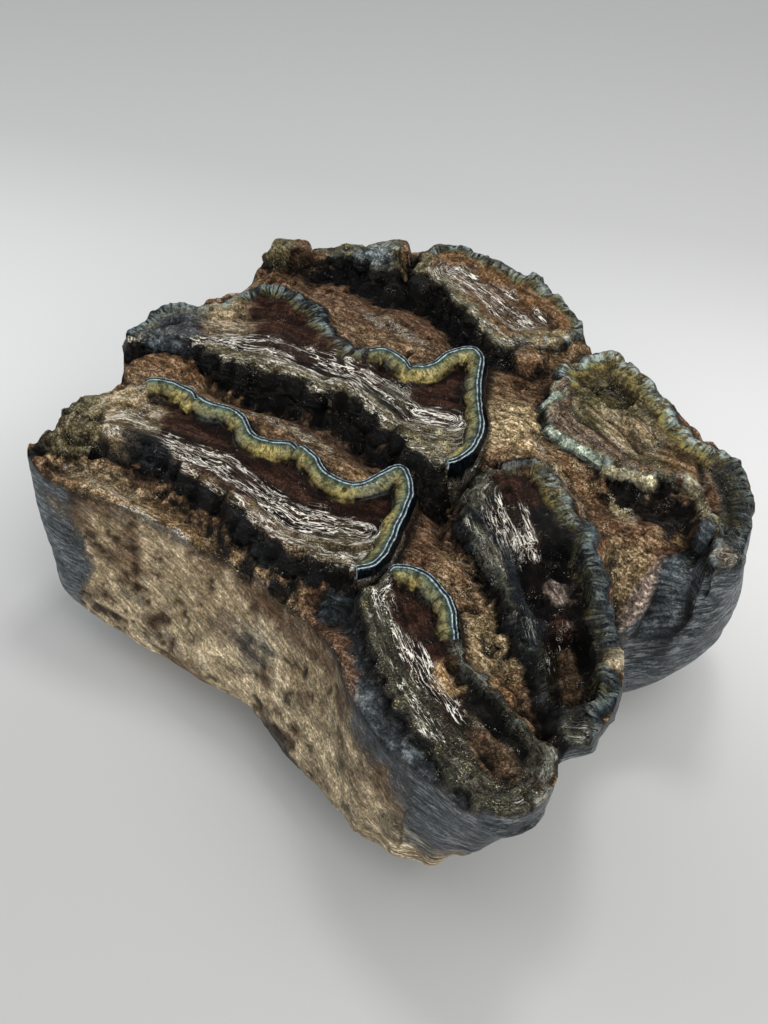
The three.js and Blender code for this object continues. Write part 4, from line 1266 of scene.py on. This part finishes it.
# Columns stand side by side in the broken enamel, blue and pale outside and brown inside.
column_run = 5.0  # their colours run this far in from the edge
rim_place = wire("CombineXYZ", {0: times(rim_around, 1.5), 1: times(rim_inset, 0.3)}).outputs[0]
rod = speckle(rim_place, 1.0, 3.0, 0.6, 0.3)
column_tint = stripes(work("DIVIDE", work("MULTIPLY_ADD", middling, 2.0, rim_inset), column_run), [
    (at, tone(*shade)) for at, shade in (
        (0.0, (32, 42, 48)), (0.24, (62, 80, 88)), (0.38, (158, 174, 174)), (0.50, (178, 188, 176)),
        (0.66, (128, 132, 100)), (0.85, (140, 124, 66)), (1.0, (70, 56, 34)),
    )
])
column_dim = times(ease(speckle(place, 0.5, 3.0), 0.36, 0.56, 0.3, 1.15), ease(fine, 0.3, 0.7, 0.6, 1.3))
column_share = times(ease(rod, 0.42, 0.56), some_columns)
body = over(column_share, body, scaled(column_tint, column_dim))

# The polished enamel: black at its edge, then two bright lines in dark blue, which are painted highlights on
# its ridges, and olive inside them, going dark at the inner edge as painted shadow where it steps down to
# the dentine; with drifts of blue and of cream, dark rods and specks.
rim_run = 3.3  # its lines run this far in
across_rim = work("DIVIDE", swing(middling, 0.3, rim_inset), rim_run)
lines = stripes(across_rim, [
    (at, tone(*shade)) for at, shade in (
        (0.00, (6, 8, 10)), (0.13, (10, 16, 20)), (0.155, (176, 190, 194)), (0.18, (140, 160, 166)),
        (0.205, (10, 24, 30)), (0.30, (18, 38, 46)), (0.32, (190, 202, 202)), (0.35, (140, 158, 160)),
        (0.385, (36, 54, 52)), (0.48, (76, 86, 66)), (0.60, (120, 118, 80)), (0.84, (100, 90, 54)),
        (0.93, (44, 34, 20)), (0.98, (10, 7, 5)),
    )
])
drift = speckle(wire("CombineXYZ", {0: times(rim_around, 0.16)}).outputs[0], 1.0, 1.0)
for value, low, high, outer, inner, share, shade in (
    (drift, 0.50, 0.62, 1.2, 1.7, 0.3, (90, 106, 100)),
    (drift, 0.50, 0.38, 1.5, 2.3, 0.7, (178, 162, 100)),
    (rod, 0.55, 0.64, 1.1, 1.9, 0.8, (50, 40, 24)),
    (sugar, 0.57, 0.64, 1.3, 2.3, 0.8, (34, 24, 14)),
):
    covered = times(ease(value, low, high), ease(rim_inset, outer, inner), share)
    lines = over(covered, lines, (*tone(*shade), 1))
# patchy dims and brightens the lines in patches, breaking up their painted highlights
patchy = times(ease(fine, 0.3, 0.7, 0.5, 1.4), ease(speckle(place, 0.9, 3.0), 0.38, 0.54, 0.4, 1.1))
polished = times(
    ease(rim_broken, 0.55, 0.35), ease(rim_inset, -0.25, 0.0), ease(rim_inset, 3.45, 3.25), crown_share
)
tree.links.new(over(polished, body, scaled(lines, patchy)), shader.inputs["Base Color"])

# Varnish: glossy where it lies thick, with a weak reflection, and even over the polished enamel.
least_roughness = 0.09
polished_roughness = 0.14
roughness = work("MAXIMUM", swing(fine, 0.4, between(some_wet, 0.75, 0.10)), least_roughness)
tree.links.new(either(polished, roughness, polished_roughness), shader.inputs["Roughness"])
shader.inputs["Specular IOR Level"].default_value = 0.15

# Relief too fine for the mesh: grain, threads and columns, and the ridges of the enamel's lines.
ridges = stripes(across_rim, [
    (at, (rise,) * 3) for at, rise in (
        (0.00, 0.0), (0.13, 0.5), (0.165, 0.75), (0.21, 0.45), (0.30, 0.45), (0.335, 0.75), (0.39, 0.5),
        (0.60, 0.6), (0.92, 0.5), (1.00, 0.0),
    )
])
rim_height = work("MULTIPLY_ADD", rod, 0.3, wire("SeparateColor", {0: ridges}).outputs[0])
rough_height = times(fine, 1.5)
for value, rise in (
    (thread, 1.8), (hair, 0.7), (times(silver_glint_share, some_threads), 0.35), (times(rod, some_columns), 1.5),
):
    rough_height = work("MULTIPLY_ADD", value, rise, rough_height)
height = either(polished, rough_height, rim_height)
bump = wire("Bump", {"Height": height, "Distance": 0.00045, "Strength": 1.0})
tree.links.new(bump.outputs[0], shader.inputs["Normal"])
mesh.materials.clear()
mesh.materials.append(finish)

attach(molar, "root")
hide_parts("molar")
